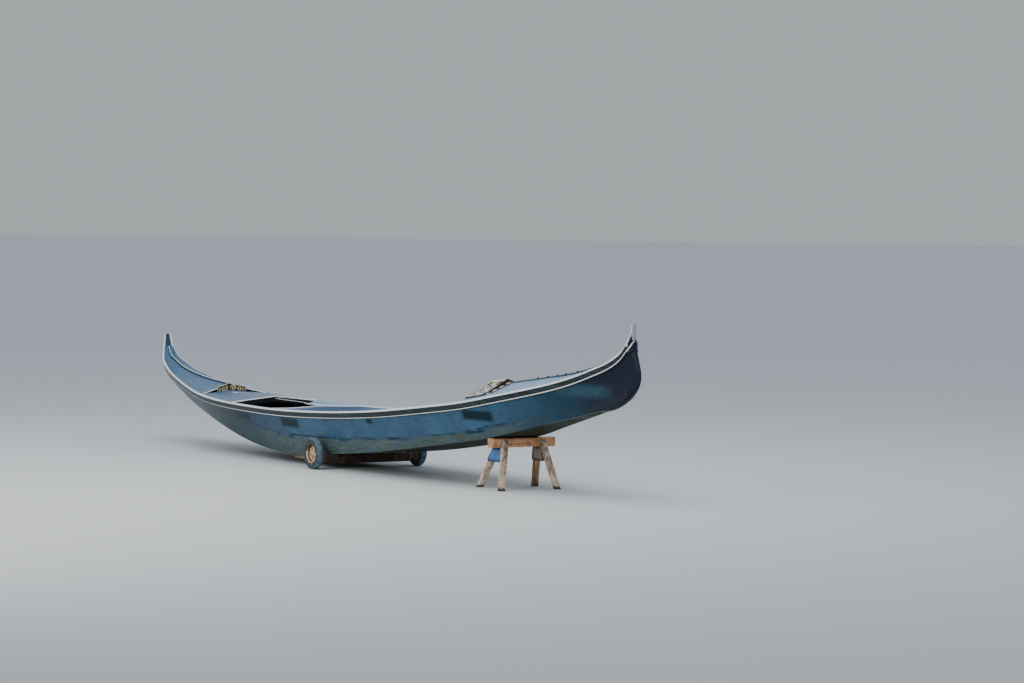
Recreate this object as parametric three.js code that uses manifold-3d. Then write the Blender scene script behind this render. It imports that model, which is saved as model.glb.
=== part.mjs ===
// Black Venetian rowing boat, stripped and laid up on land, on a two-wheel dolly and a wooden trestle.
// Millimetres, +X towards the bow, +Y to port, +Z up. The origin is on the ground under the middle.
import * as THREE from 'three';
import { mergeVertices } from 'three/addons/utils/BufferGeometryUtils.js';
import Module from 'manifold-3d';

const wasm = await Module();
wasm.setup();

// Hull form: one row for each station, from the stern to the bow.
// sheer is the gunwale's height, floor the bottom's, beam and floorBeam their half breadths.
const STATIONS = [
  // x, sheer, floor, beam, floorBeam
  [-5254, 1592, 1075, 70, 47],
  [-5197, 1532, 1035, 77, 48],
  [-5130, 1480, 1000, 86, 50],
  [-5003, 1410, 950, 108, 54],
  [-4828, 1343, 903, 140, 68],
  [-4467, 1224, 821, 214, 112],
  [-4091, 1130, 740, 294, 173],
  [-3700, 1050, 655, 380, 233],
  [-3323, 979, 570, 448, 280],
  [-2900, 905, 495, 512, 327],
  [-2300, 829, 411, 586, 382],
  [-1600, 752, 318, 648, 428],
  [-800, 688, 228, 688, 459],
  [100, 643, 152, 700, 468],
  [900, 622, 104, 687, 458],
  [1700, 621, 140, 646, 427],
  [2300, 626, 205, 594, 388],
  [2900, 640, 297, 523, 334],
  [3300, 658, 366, 463, 291],
  [3700, 691, 438, 395, 242],
  [4133, 741, 520, 312, 183],
  [4606, 818, 625, 230, 113],
  [4803, 862, 672, 196, 85],
  [4941, 905, 709, 172, 66],
  [5118, 975, 768, 138, 52],
  [5226, 1052, 825, 99, 47],
  [5285, 1150, 868, 70, 47],
];
const HALF_LENGTH = 5340;
const MAX_BEAM_X = 43;
const SKEW = 98; // the port side is fuller: bow and stern lie this far to starboard of the middle
const SKEW_POWER = 2.2;

const GAP = 0.3;
const PLANK = 18;
const FLOOR_PLANK = 22;
const WALE = 22;
const WALE_DEPTH = 86;
const RAIL_THICK = 12;
const RAIL_LIP = 3;
const RAIL_WIDTH = 28;
const DECK = 12;
const POST_HALF = 28.4;
const FLARE_POWER = 0.85; // below 1, the sides are a little full
const WALE_SHARE = 0.55; // most of the side's height that the wale may take
const CLEAR = 9; // room between a cross piece's end and the planking

// Decks and well. Both decks end in a shallow V in plan, its point towards the bow.
const FORE_DECK_END = 3500; // on the middle line
const FORE_SWEEP = 170; // how far the fore deck's corners lie aft of that
const AFT_DECK_END = -2820; // at the side
const AFT_SWEEP = 120; // how far the aft deck's middle lies forward of that
const AFT_KNEE = 172; // width at each side where the aft deck's end is square
const FORE_PITCH = 0.22; // rise of the ridge for each unit of half breadth
const AFT_PITCH = 0.35;
const FORE_BOARD_SHARE = 0.45; // of the half breadth
const CARVING_LENGTH = 300;
const WELL_END = 2250;
const WELL_RISE_AFT = 60; // rise of the low deck's ridge at its aft edge, and at the board
const WELL_RISE_FORE = 20;
const SIDE_DECK_WIDTH = 150;
const COAMING = 18;
const COAMING_DEPTH = 78;
const BATTEN_HALF = 22;
const BATTEN_RISE = 12;
const BATTEN_MARGIN = 6;
const BATTEN_SHOULDER = 0.7; // share of the half width at which the rounded top begins
const BATTEN_SETBACK = 20;

// Dolly
const WHEEL_X = 0;
const TRACK_HALF = 662;
const TYRE_R = 172.5;
const TYRE_WIDTH = 84;
const RIM_R = 112;
const AXLE_R = 10;
const BOLSTER_HALF_X = 60;
const BOLSTER_BASE = 60;
const BOLSTER_HALF_Y = 540;
const RAIL_END_X = 960;

// Trestle
const TRESTLE_X = -3156;
const TRESTLE_Y = -111.5;
const TRESTLE_HALF_LENGTH = 383.5;
const TRESTLE_BEAM_HALF_X = 56;
const TRESTLE_BEAM_DEPTH = 98;

const COLOURS = {
  black: { color: 0x1c2a33, roughness: 0.25, metalness: 0 },
  deck: { color: 0x55738f, roughness: 0.3, metalness: 0 },
  line: { color: 0xdfe8ec, roughness: 0.4, metalness: 0 },
  gold: { color: 0xc9a96a, roughness: 0.4, metalness: 0.4 },
  inside: { color: 0x15181b, roughness: 0.6, metalness: 0 },
  grey: { color: 0xb9c0c2, roughness: 0.6, metalness: 0 },
  wood: { color: 0xc79a70, roughness: 0.8, metalness: 0 },
  redwood: { color: 0x7d4a35, roughness: 0.8, metalness: 0 },
  blue: { color: 0x466e96, roughness: 0.6, metalness: 0 },
  ply: { color: 0x8d7f72, roughness: 0.8, metalness: 0 },
  steel: { color: 0x8b9094, roughness: 0.5, metalness: 0.8 },
  rim: { color: 0xe6cdaa, roughness: 0.6, metalness: 0.2 },
  tyre: { color: 0x3c4b55, roughness: 0.9, metalness: 0 },
};

const boat = new THREE.Group();

function add(name, geometry, colour) {
  const mesh = new THREE.Mesh(geometry, new THREE.MeshStandardMaterial(COLOURS[colour]));
  mesh.name = name;
  boat.add(mesh);
  return mesh;
}

// The value of one column at x, on straight runs between stations
function column(index) {
  return (x) => {
    let i = 0;
    while (i < STATIONS.length - 2 && x > STATIONS[i + 1][0]) i += 1;
    const a = STATIONS[i];
    const b = STATIONS[i + 1];
    return a[index] + (b[index] - a[index]) * (x - a[0]) / (b[0] - a[0]);
  };
}
const sheer = column(1);
const floorZ = column(2);
const beam = column(3);
const floorBeam = column(4);

function skewAt(x) {
  return -SKEW * Math.pow(Math.abs(x - MAX_BEAM_X) / HALF_LENGTH, SKEW_POWER);
}

// Centre line of the hull in plan, on the same straight runs
function middle(x) {
  let i = 0;
  while (i < STATIONS.length - 2 && x > STATIONS[i + 1][0]) i += 1;
  const [a, b] = [STATIONS[i][0], STATIONS[i + 1][0]];
  return skewAt(a) + (skewAt(b) - skewAt(a)) * (x - a) / (b - a);
}

function stationsBetween(from, to) {
  const inner = STATIONS.map((row) => row[0]).filter((x) => x > from + 1 && x < to - 1);
  return [from, ...inner, to];
}

// A closed body through rings of points. Quads are split on their shorter diagonal, so that
// two faces a gap apart keep the same creases. An end is closed by strips from each point of the
// ring to its partner, counted from the ring's two ends.
function loft(rings) {
  const n = rings[0].length;
  const positions = rings.flat(2);
  const index = [];
  const distance = (p, q) => Math.hypot(p[0] - q[0], p[1] - q[1], p[2] - q[2]);
  for (let i = 0; i < rings.length - 1; i += 1) {
    for (let j = 0; j < n; j += 1) {
      const k = (j + 1) % n;
      const [a, b, c, d] = [i * n + j, i * n + k, (i + 1) * n + k, (i + 1) * n + j];
      const [pa, pb, pc, pd] = [rings[i][j], rings[i][k], rings[i + 1][k], rings[i + 1][j]];
      if (distance(pa, pc) <= distance(pb, pd)) index.push(a, b, c, a, c, d);
      else index.push(a, b, d, b, c, d);
    }
  }
  const last = (rings.length - 1) * n;
  for (let j = 0; 2 * (j + 1) < n; j += 1) {
    const [a, b, c, d] = [j, j + 1, n - 2 - j, n - 1 - j];
    index.push(b, a, d, last + a, last + b, last + d);
    if (b !== c) index.push(b, d, c, last + b, last + c, last + d);
  }
  const geometry = new THREE.BufferGeometry();
  geometry.setAttribute('position', new THREE.Float32BufferAttribute(positions, 3));
  geometry.setIndex(index);
  return outward(geometry);
}

// Turns a closed body's faces so that they point out
function outward(geometry) {
  const p = geometry.attributes.position;
  const index = geometry.index.array;
  const [a, b, c] = [new THREE.Vector3(), new THREE.Vector3(), new THREE.Vector3()];
  let volume = 0;
  for (let i = 0; i < index.length; i += 3) {
    a.fromBufferAttribute(p, index[i]);
    b.fromBufferAttribute(p, index[i + 1]);
    c.fromBufferAttribute(p, index[i + 2]);
    volume += a.dot(b.cross(c));
  }
  if (volume < 0) {
    for (let i = 0; i < index.length; i += 3) [index[i + 1], index[i + 2]] = [index[i + 2], index[i + 1]];
  }
  return geometry;
}

// A body lofted along the hull: section(x) gives [offset from the centre line, height] points
function along(from, to, side, section) {
  const ring = (x) => section(x).map(([y, z]) => [x, middle(x) + side * y, z]);
  return loft(stationsBetween(from, to).map(ring));
}

// The same shape with its shared vertices merged
const MERGE_DISTANCE = 1e-3;
function merged(geometry) {
  const bare = geometry.clone();
  bare.deleteAttribute('normal');
  bare.deleteAttribute('uv');
  return mergeVertices(bare, MERGE_DISTANCE);
}

function solid(geometry) {
  const shape = merged(geometry);
  return new wasm.Manifold(new wasm.Mesh({
    numProp: 3,
    vertProperties: Float32Array.from(shape.attributes.position.array),
    triVerts: Uint32Array.from(shape.index.array),
  }));
}

function fromSolid(body) {
  const mesh = body.getMesh();
  const geometry = new THREE.BufferGeometry();
  geometry.setAttribute('position', new THREE.Float32BufferAttribute(mesh.vertProperties, 3));
  geometry.setIndex(Array.from(mesh.triVerts));
  return geometry;
}

function join(geometries) {
  return fromSolid(geometries.map(solid).reduce((a, b) => a.add(b)));
}

function block(x0, x1, y0, y1, z0, z1) {
  const geometry = new THREE.BoxGeometry(x1 - x0, y1 - y0, z1 - z0);
  geometry.translate((x0 + x1) / 2, (y0 + y1) / 2, (z0 + z1) / 2);
  return geometry;
}

// A plate cut to an outline in the X, Z plane, which follows the hull's centre line.
// halfAt(z) is half its thickness at a height.
function profile(points, halfAt) {
  const shape = new THREE.Shape(points.map(([x, z]) => new THREE.Vector2(x, z)));
  const geometry = new THREE.ExtrudeGeometry(shape, { depth: 2, bevelEnabled: false });
  geometry.rotateX(Math.PI / 2);
  geometry.translate(0, 1, 0);
  const p = geometry.attributes.position;
  for (let i = 0; i < p.count; i += 1) p.setY(i, p.getY(i) * halfAt(p.getZ(i)) + middle(p.getX(i)));
  return geometry;
}

// Half breadth of the planking's outer face at a share t of its height
function sideAt(x, t) {
  const top = beam(x) - WALE;
  const bottom = floorBeam(x);
  return bottom + (top - bottom) * Math.pow(t, FLARE_POWER);
}
const plankTop = (x) => sheer(x) - RAIL_THICK - GAP;
const waleBottom = (x) => sheer(x) - Math.min(WALE_DEPTH, WALE_SHARE * (sheer(x) - floorZ(x)));

// Planking, wale and rail of each side. Planks and wales are butted end to end.
const SIDE_STEPS = [0, 0.35, 0.7];
const hullFrom = STATIONS[0][0];
const hullTo = STATIONS[STATIONS.length - 1][0];
const PLANK_BUTTS = [-2610, 10, 2620];
const PLANK_LENGTHS = ['stern', 'aft', 'fore', 'bow'];
const WALE_BUTTS = [10];
const WALE_LENGTHS = ['aft', 'fore'];

// The lengths between butts, each as [name, from, to], a gap apart
function lengths(names, from, butts, to) {
  const starts = [from, ...butts.map((x) => x + GAP / 2)];
  const ends = [...butts.map((x) => x - GAP / 2), to];
  return names.map((name, i) => [name, starts[i], ends[i]]);
}

function sideSection(x) {
  const split = waleBottom(x);
  const at = (share, inset) => {
    const z = floorZ(x) + share * (split - floorZ(x));
    return [sideAt(x, share * (split - floorZ(x)) / (plankTop(x) - floorZ(x))) - inset, z];
  };
  const face = (inset) => {
    const lower = [...SIDE_STEPS, 1].map((share) => at(share, inset));
    return [...lower, [sideAt(x, 1) - inset, plankTop(x)]];
  };
  return [...face(0), ...face(PLANK).reverse()];
}

function waleSection(x) {
  const split = waleBottom(x);
  const low = sideAt(x, (split - floorZ(x)) / (plankTop(x) - floorZ(x))) + GAP;
  return [[low, split], [low + WALE - 2, split], [beam(x), plankTop(x)], [sideAt(x, 1) + GAP, plankTop(x)]];
}

function railSection(x) {
  const z = sheer(x);
  const [inner, outer] = [beam(x) - RAIL_WIDTH, beam(x) + RAIL_LIP];
  return [[inner, z - RAIL_THICK], [outer, z - RAIL_THICK], [outer, z], [inner, z]];
}

const SIDES = [['port', 1], ['starboard', -1]];
for (const [name, side] of SIDES) {
  for (const [length, from, to] of lengths(PLANK_LENGTHS, hullFrom, PLANK_BUTTS, hullTo)) {
    add(`${name}_${length}_side_planking`, along(from, to, side, sideSection), 'black');
  }
  for (const [length, from, to] of lengths(WALE_LENGTHS, hullFrom, WALE_BUTTS, hullTo)) {
    add(`${name}_${length}_wale`, along(from, to, side, waleSection), 'black');
  }
  add(`${name}_gunwale`, along(hullFrom, hullTo, side, railSection), 'line');
}

// Bottom planking, flat across and rockered along
const BOTTOM_FROM = -4780;
const BOTTOM_TO = 4760;
function bottomSection(x) {
  const half = floorBeam(x) - PLANK - GAP;
  const [low, high] = [floorZ(x), floorZ(x) + FLOOR_PLANK];
  return [[-half, low], [half, low], [half, high], [-half, high]];
}
for (const [length, from, to] of lengths(PLANK_LENGTHS, BOTTOM_FROM, PLANK_BUTTS, BOTTOM_TO)) {
  add(`${length}_bottom_planking`, along(from, to, 1, bottomSection), 'black');
}

// Bow stem and stern post, cut from plank between the side planks
const BOW_STEM = [
  [4770, 654], [4950, 700], [5110, 750], [5240, 805], [5336, 870], [5394, 950], [5422, 1050],
  [5422, 1150], [5398, 1235], [5360, 1304], [5318, 1304], [5308, 1230], [5292, 1150],
  [5288, 1060], [5230, 960], [5120, 880], [4960, 815], [4770, 742],
];
const STERN_POST = [
  [-4790, 885], [-4960, 915], [-5120, 972], [-5255, 1052], [-5350, 1124], [-5402, 1190], [-5422, 1270],
  [-5408, 1345], [-5381, 1415], [-5341, 1514], [-5305, 1597], [-5300, 1640], [-5292, 1730], [-5258, 1730],
  [-5257, 1640], [-5256, 1575], [-5250, 1450], [-5240, 1280], [-5180, 1150], [-5040, 1055], [-4790, 985],
];
// The stern head is drawn thinner towards its top
const HEAD_FROM = 1500;
const HEAD_TO = 1790;
const HEAD_SHARE = 0.5;
const headHalf = (z) => {
  const up = THREE.MathUtils.clamp((z - HEAD_FROM) / (HEAD_TO - HEAD_FROM), 0, 1);
  return POST_HALF * (1 - (1 - HEAD_SHARE) * up);
};
add('bow_stem', profile(BOW_STEM, () => POST_HALF), 'black');
add('stern_post', profile(STERN_POST, headHalf), 'black');

// Pitched decks: two slopes that meet on a batten
function deckTop(x, y, pitch) {
  return sheer(x) + pitch * (beam(x) - RAIL_WIDTH - y);
}
const aftKnee = 1 - AFT_KNEE / (beam(AFT_DECK_END) - RAIL_WIDTH);
const foreSweepAt = (share) => -FORE_SWEEP * share;
const aftSweepAt = (share) => AFT_SWEEP * Math.max(0, 1 - share / aftKnee);
// knee is the share of the half breadth where the end line turns, sweepAt how far forward it lies there
const DECKS = {
  fore: { pitch: FORE_PITCH, end: FORE_DECK_END, knee: FORE_BOARD_SHARE, sweepAt: foreSweepAt },
  aft: { pitch: AFT_PITCH, end: AFT_DECK_END, knee: aftKnee, sweepAt: aftSweepAt },
};

// Ring of a deck half, from the middle line out
function deckRing(x, side, { pitch, end, knee, sweepAt }) {
  const top = [0, knee, 1].map((share) => {
    const px = x === end ? x + sweepAt(share) : x;
    const y = GAP + (beam(px) - RAIL_WIDTH - 2 * GAP) * share;
    return [px, middle(px) + side * y, deckTop(px, y, pitch)];
  });
  return [...top, ...top.map(([px, y, z]) => [px, y, z - DECK]).reverse()];
}
function battenSection(pitch) {
  return (x) => {
    const half = Math.min(BATTEN_HALF, beam(x) - RAIL_WIDTH - BATTEN_MARGIN);
    const edge = deckTop(x, half, pitch) + GAP;
    const top = deckTop(x, 0, pitch) + GAP;
    const shoulder = BATTEN_SHOULDER * half;
    const shoulderTop = edge + BATTEN_SHOULDER * BATTEN_RISE;
    return [[-half, edge], [0, top], [half, edge], [shoulder, shoulderTop],
      [0, top + BATTEN_RISE], [-shoulder, shoulderTop]];
  };
}
for (const [name, side] of SIDES) {
  const foreXs = stationsBetween(FORE_DECK_END, hullTo - 1);
  add(`${name}_fore_deck`, loft(foreXs.map((x) => deckRing(x, side, DECKS.fore))), 'deck');
  const aftXs = stationsBetween(hullFrom + 1, AFT_DECK_END);
  add(`${name}_aft_deck`, loft(aftXs.map((x) => deckRing(x, side, DECKS.aft))), 'deck');
}
const carvingFrom = AFT_DECK_END - CARVING_LENGTH;
const BATTENS = [
  // name, from, to, pitch of the deck
  ['fore_deck_ridge', FORE_DECK_END + BATTEN_SETBACK, hullTo - BATTEN_SETBACK, FORE_PITCH],
  ['aft_deck_ridge', hullFrom + BATTEN_SETBACK, carvingFrom + AFT_SWEEP - BATTEN_SETBACK, AFT_PITCH],
];
for (const [name, from, to, pitch] of BATTENS) add(name, along(from, to, 1, battenSection(pitch)), 'line');

// Carved and gilded board across the end of the fore deck
const FORE_BOARD_THICK = 22;
const FORE_BOARD_DROP = 38;
const FORE_BOARD_RISE = 14;
function boardRing(x) {
  const px = x - FORE_SWEEP * FORE_BOARD_SHARE;
  const half = FORE_BOARD_SHARE * (beam(px) - RAIL_WIDTH);
  const edge = deckTop(px, half, FORE_PITCH);
  const low = edge - DECK - FORE_BOARD_DROP;
  return [
    [px, middle(px) - half, low], [x, middle(x), low], [px, middle(px) + half, low],
    [px, middle(px) + half, edge + FORE_BOARD_RISE],
    [x, middle(x), deckTop(x, 0, FORE_PITCH) + FORE_BOARD_RISE],
    [px, middle(px) - half, edge + FORE_BOARD_RISE],
  ];
}
const boardX = FORE_DECK_END - GAP;
add('fore_deck_board', loft([boardRing(boardX - FORE_BOARD_THICK), boardRing(boardX)]), 'gold');

// Low pitched deck between the fore deck and the cockpit
const WELL_TO = boardX - FORE_BOARD_THICK - GAP;
function wellTop(x, y) {
  const share = Math.abs(y) / (beam(x) - RAIL_WIDTH);
  const rise = WELL_RISE_AFT + (WELL_RISE_FORE - WELL_RISE_AFT) * (x - WELL_END) / (WELL_TO - WELL_END);
  return sheer(x) + rise * (1 - share);
}
function wellRing(x) {
  const top = [-1, -FORE_BOARD_SHARE, 0, FORE_BOARD_SHARE, 1].map((share) => {
    const px = x === WELL_TO ? x - FORE_SWEEP * Math.abs(share) : x;
    const y = share * (beam(px) - RAIL_WIDTH - GAP);
    return [px, middle(px) + y, wellTop(px, y)];
  });
  return [...top, ...top.map(([px, y, z]) => [px, y, z - DECK]).reverse()];
}
const wellXs = [...stationsBetween(WELL_END, WELL_TO - FORE_SWEEP).slice(0, -1), WELL_TO];
add('fore_well_deck', loft(wellXs.map(wellRing)), 'deck');

// Carved gabled piece on the front of the aft deck, and the board that closes the deck below it
const CARVING_THICK = 52;
const CARVING_SHARE = 0.82; // of the half breadth
const CARVING_EDGE = 17;
const CARVING_BED = 0.7; // bedding under it
function carvingRing(x) {
  const under = [-CARVING_SHARE, -aftKnee, 0, aftKnee, CARVING_SHARE].map((share) => {
    const px = x + aftSweepAt(Math.abs(share));
    const y = share * (beam(px) - RAIL_WIDTH);
    return [px, middle(px) + y, deckTop(px, Math.abs(y), AFT_PITCH) + CARVING_BED];
  });
  const rise = (y) => {
    const share = Math.abs(y - middle(x)) / (CARVING_SHARE * (beam(x) - RAIL_WIDTH));
    return CARVING_EDGE + (CARVING_THICK - CARVING_EDGE) * Math.max(0, 1 - share);
  };
  return [...under, ...under.map(([px, y, z]) => [px, y, z + rise(y)]).reverse()];
}
add('aft_deck_carving', loft(stationsBetween(carvingFrom, AFT_DECK_END).map(carvingRing)), 'gold');

const BULKHEAD = 18;
const BULKHEAD_CLEAR = 4;
const BULKHEAD_SETBACK = 20;
function bulkheadRing(x) {
  const topHalf = sideAt(x, 1) - PLANK - BULKHEAD_CLEAR;
  const lowHalf = floorBeam(x) - PLANK - BULKHEAD_CLEAR;
  const low = floorZ(x) + FLOOR_PLANK + BULKHEAD_CLEAR;
  const rim = deckTop(x, topHalf, AFT_PITCH) - DECK - GAP;
  const crown = deckTop(x, 0, AFT_PITCH) - DECK - GAP;
  return [[x, middle(x) - lowHalf, low], [x, middle(x) + lowHalf, low],
    [x, middle(x) + topHalf, rim], [x, middle(x), crown], [x, middle(x) - topHalf, rim]];
}
const bulkheadX = AFT_DECK_END - BULKHEAD_SETBACK;
add('aft_bulkhead', loft([bulkheadRing(bulkheadX - BULKHEAD), bulkheadRing(bulkheadX)]), 'inside');

// Beam under the end of the low deck
const WELL_BEAM_DEPTH = 60;
const WELL_BEAM_THICK = 40;
const WELL_BEAM_SETBACK = 4;
function beamRing(x) {
  const low = sheer(x) - DECK - WELL_BEAM_DEPTH;
  const half = sideAt(x, (low - floorZ(x)) / (plankTop(x) - floorZ(x))) - PLANK - CLEAR;
  const top = [-half, 0, half].map((y) => [x, middle(x) + y, wellTop(x, y) - DECK - GAP]);
  return [...top, ...top.map(([px, y, z]) => [px, y, z - WELL_BEAM_DEPTH]).reverse()];
}
const wellBeamX = WELL_END + WELL_BEAM_SETBACK;
add('fore_well_beam', loft([beamRing(wellBeamX), beamRing(wellBeamX + WELL_BEAM_THICK)]), 'inside');

// Side decks along the cockpit. Amidships the port one rises inboard to its coaming; further forward both fall
// inboard, below the rail
const SIDE_DECK_FROM = AFT_DECK_END + GAP;
const SIDE_DECK_TO = WELL_END - GAP;
const COAMING_LIP = 10;
const SIDE_DECK_LEDGE = 13; // level part over the planking's edge
const COAMING_FOOT = 56; // its lower edge lies this far below the rail, or less where the deck rises
const LIFTS = {
  // x, height of the deck's inner edge above the rail
  port: [[-2820, -10], [-2300, -10], [-1600, -2], [-800, 50], [100, 50], [900, -2], [1700, -46], [2250, -42]],
  starboard: [[-2820, -10], [100, -10], [900, -14], [1700, -46], [2250, -42]],
};
function sideLift(x, name) {
  const rows = LIFTS[name];
  const next = Math.max(1, rows.findIndex((row, i) => row[0] >= x || i === rows.length - 1));
  const [x0, lift0] = rows[next - 1];
  const [x1, lift1] = rows[next];
  return lift0 + (lift1 - lift0) * (x - x0) / (x1 - x0);
}
function sideDeckSection(x, name) {
  const outer = beam(x) - RAIL_WIDTH - GAP;
  const inner = outer - SIDE_DECK_WIDTH;
  const ledge = outer - SIDE_DECK_LEDGE;
  const z = sheer(x);
  const lift = sideLift(x, name);
  return [[inner, z + lift - DECK], [ledge, z - DECK], [outer, z - DECK], [outer, z], [ledge, z],
    [inner, z + lift]];
}
function coamingSection(x, name) {
  const outer = beam(x) - RAIL_WIDTH - SIDE_DECK_WIDTH - 2 * GAP;
  const top = sheer(x) + sideLift(x, name) + COAMING_LIP;
  const low = Math.max(sheer(x) - COAMING_FOOT, top - COAMING_DEPTH);
  return [[outer - COAMING, low], [outer, low], [outer, top], [outer - COAMING, top]];
}
for (const [name, side] of SIDES) {
  const deck = (x) => sideDeckSection(x, name);
  const coaming = (x) => coamingSection(x, name);
  add(`${name}_side_deck`, along(SIDE_DECK_FROM, SIDE_DECK_TO, side, deck), 'deck');
  add(`${name}_coaming`, along(SIDE_DECK_FROM, SIDE_DECK_TO, side, coaming), 'line');
}

// Frames: floor timbers joined by a keelson, and on each side the rib heads joined by a stringer
const RIBS = 14;
const RIB_FROM = -2590;
const RIB_SPACING = 420;
const RIB_WIDTH = 34;
const RIB_DEPTH = 38;
const RIB_HEAD_DEPTH = 27;
const RIB_CLEAR = 5;
const RIB_TOP_SHARE = 0.82;
const KEELSON_HALF = 60;
const KEELSON_RISE = 10;
const KEELSON_OVERHANG = 120;
const STRINGER_DROP = 20;
const STRINGER_DEPTH = 45;
const STRINGER_THICK = 22;
const STRINGER_HOUSING = 6; // how deep the stringer is let into the ribs
const ribXs = Array.from({ length: RIBS }, (_, i) => RIB_FROM + i * RIB_SPACING);
const ribBase = (x) => floorZ(x) + FLOOR_PLANK + GAP;
const ribTop = (x) => floorZ(x) + RIB_TOP_SHARE * (plankTop(x) - floorZ(x));

// Outer and inner face of a rib, as straight lines in height
function ribOuter(x, z) {
  const low = floorBeam(x) - PLANK - RIB_CLEAR;
  const top = sideAt(x, RIB_TOP_SHARE) - PLANK - RIB_CLEAR;
  return low + (top - low) * (z - ribBase(x)) / (ribTop(x) - ribBase(x));
}
function ribInner(x, z) {
  const knee = ribBase(x) + RIB_DEPTH;
  const share = (z - knee) / (ribTop(x) - knee);
  return ribOuter(x, z) - RIB_DEPTH + (RIB_DEPTH - RIB_HEAD_DEPTH) * share;
}

function floorTimberRing(x) {
  const [low, high] = [ribBase(x), ribBase(x) + RIB_DEPTH];
  const [lowHalf, highHalf] = [ribOuter(x, low), ribOuter(x, high)];
  return [[x, middle(x) - lowHalf, low], [x, middle(x) + lowHalf, low],
    [x, middle(x) + highHalf, high], [x, middle(x) - highHalf, high]];
}
function ribHeadRing(x, side) {
  const [low, high] = [ribBase(x) + RIB_DEPTH + GAP, ribTop(x)];
  const points = [[ribInner, low], [ribOuter, low], [ribOuter, high], [ribInner, high]];
  return points.map(([face, z]) => [x, middle(x) + side * face(x, z), z]);
}
function keelsonSection(x) {
  const [low, high] = [ribBase(x), ribBase(x) + RIB_DEPTH + KEELSON_RISE];
  return [[-KEELSON_HALF, low], [KEELSON_HALF, low], [KEELSON_HALF, high], [-KEELSON_HALF, high]];
}
function stringerSection(x) {
  const high = ribTop(x) - STRINGER_DROP;
  const low = high - STRINGER_DEPTH;
  const outer = ribInner(x, low) + STRINGER_HOUSING;
  return [[outer - STRINGER_THICK, low], [outer, low], [outer, high], [outer - STRINGER_THICK, high]];
}
const lastRib = ribXs[RIBS - 1] + RIB_WIDTH;
const keelson = along(RIB_FROM - KEELSON_OVERHANG, lastRib + KEELSON_OVERHANG, 1, keelsonSection);
const timbers = ribXs.map((x) => loft([floorTimberRing(x), floorTimberRing(x + RIB_WIDTH)]));
add('floor_timbers', join([keelson, ...timbers]), 'inside');
for (const [name, side] of SIDES) {
  const heads = ribXs.map((x) => loft([ribHeadRing(x, side), ribHeadRing(x + RIB_WIDTH, side)]));
  add(`${name}_ribs`, join([along(RIB_FROM, lastRib, side, stringerSection), ...heads]), 'inside');
}

// Bottom boards laid on the ribs, each side of the keelson
const BOARD_THICK = 16;
const BOARD_GAP = 4;
const BOARD_FROM = -2400;
const BOARD_TO = 2100;
const BOARD_OUTER = 330;
const BOARD_MARGIN = 12;
function floorboardSection(x) {
  const z = ribBase(x) + RIB_DEPTH + GAP;
  const inner = KEELSON_HALF + BOARD_GAP;
  const outer = Math.min(floorBeam(x) - PLANK - RIB_DEPTH - BOARD_MARGIN, BOARD_OUTER);
  return [[inner, z], [outer, z], [outer, z + BOARD_THICK], [inner, z + BOARD_THICK]];
}
for (const [name, side] of SIDES) {
  add(`${name}_floorboards`, along(BOARD_FROM, BOARD_TO, side, floorboardSection), 'inside');
}

// Thwarts on the heads of two ribs
const THWARTS = [
  // name, number of the rib
  ['fore_thwart', 10],
  ['middle_thwart', 4],
];
const THWART_THICK = 26;
const THWART_OVERHANG = 45;
for (const [name, number] of THWARTS) {
  const [from, to] = [ribXs[number], ribXs[number] + RIB_WIDTH];
  const z = Math.max(ribTop(from), ribTop(to)) + GAP;
  const ring = (px) => {
    const half = sideAt(px, (z - floorZ(px)) / (plankTop(px) - floorZ(px))) - PLANK - CLEAR;
    const y0 = middle(px) - half;
    const y1 = middle(px) + half;
    return [[px, y0, z], [px, y1, z], [px, y1, z + THWART_THICK], [px, y0, z + THWART_THICK]];
  };
  add(name, loft([ring(from - THWART_OVERHANG), ring(to + THWART_OVERHANG)]), 'inside');
}

// Light grey cap on the stern head
const CAP_LIP = 4;
const CAP_OUTLINE = [
  [-5300.4, 1640], [-5292.4, 1730.3], [-5256, 1730.3], [-5262, 1770], [-5280, 1793], [-5300, 1788],
  [-5311, 1740], [-5315, 1640],
];
add('stern_head_cap', profile(CAP_OUTLINE, (z) => headHalf(z) + CAP_LIP), 'grey');

// Dolly: a wooden bolster with two fore rails, steel brackets with stub axles, and two wheels
const bolsterTop = Math.min(floorZ(WHEEL_X - BOLSTER_HALF_X), floorZ(WHEEL_X + BOLSTER_HALF_X)) - GAP;
const bolsterXs = [WHEEL_X - BOLSTER_HALF_X, WHEEL_X + BOLSTER_HALF_X];
const bolster = block(...bolsterXs, -BOLSTER_HALF_Y, BOLSTER_HALF_Y, BOLSTER_BASE, bolsterTop);
add('dolly_bolster', bolster, 'redwood');
const DOLLY_RAIL_Y = [300, 390];
const dollyRailTop = Math.min(...STATIONS.map((row) => row[2])) - GAP;
for (const [name, side] of SIDES) {
  const [y0, y1] = side > 0 ? DOLLY_RAIL_Y : [-DOLLY_RAIL_Y[1], -DOLLY_RAIL_Y[0]];
  add(`dolly_${name}_rail`, block(
    WHEEL_X + BOLSTER_HALF_X + GAP, RAIL_END_X, y0, y1, BOLSTER_BASE, dollyRailTop,
  ), 'wood');
}

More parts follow.
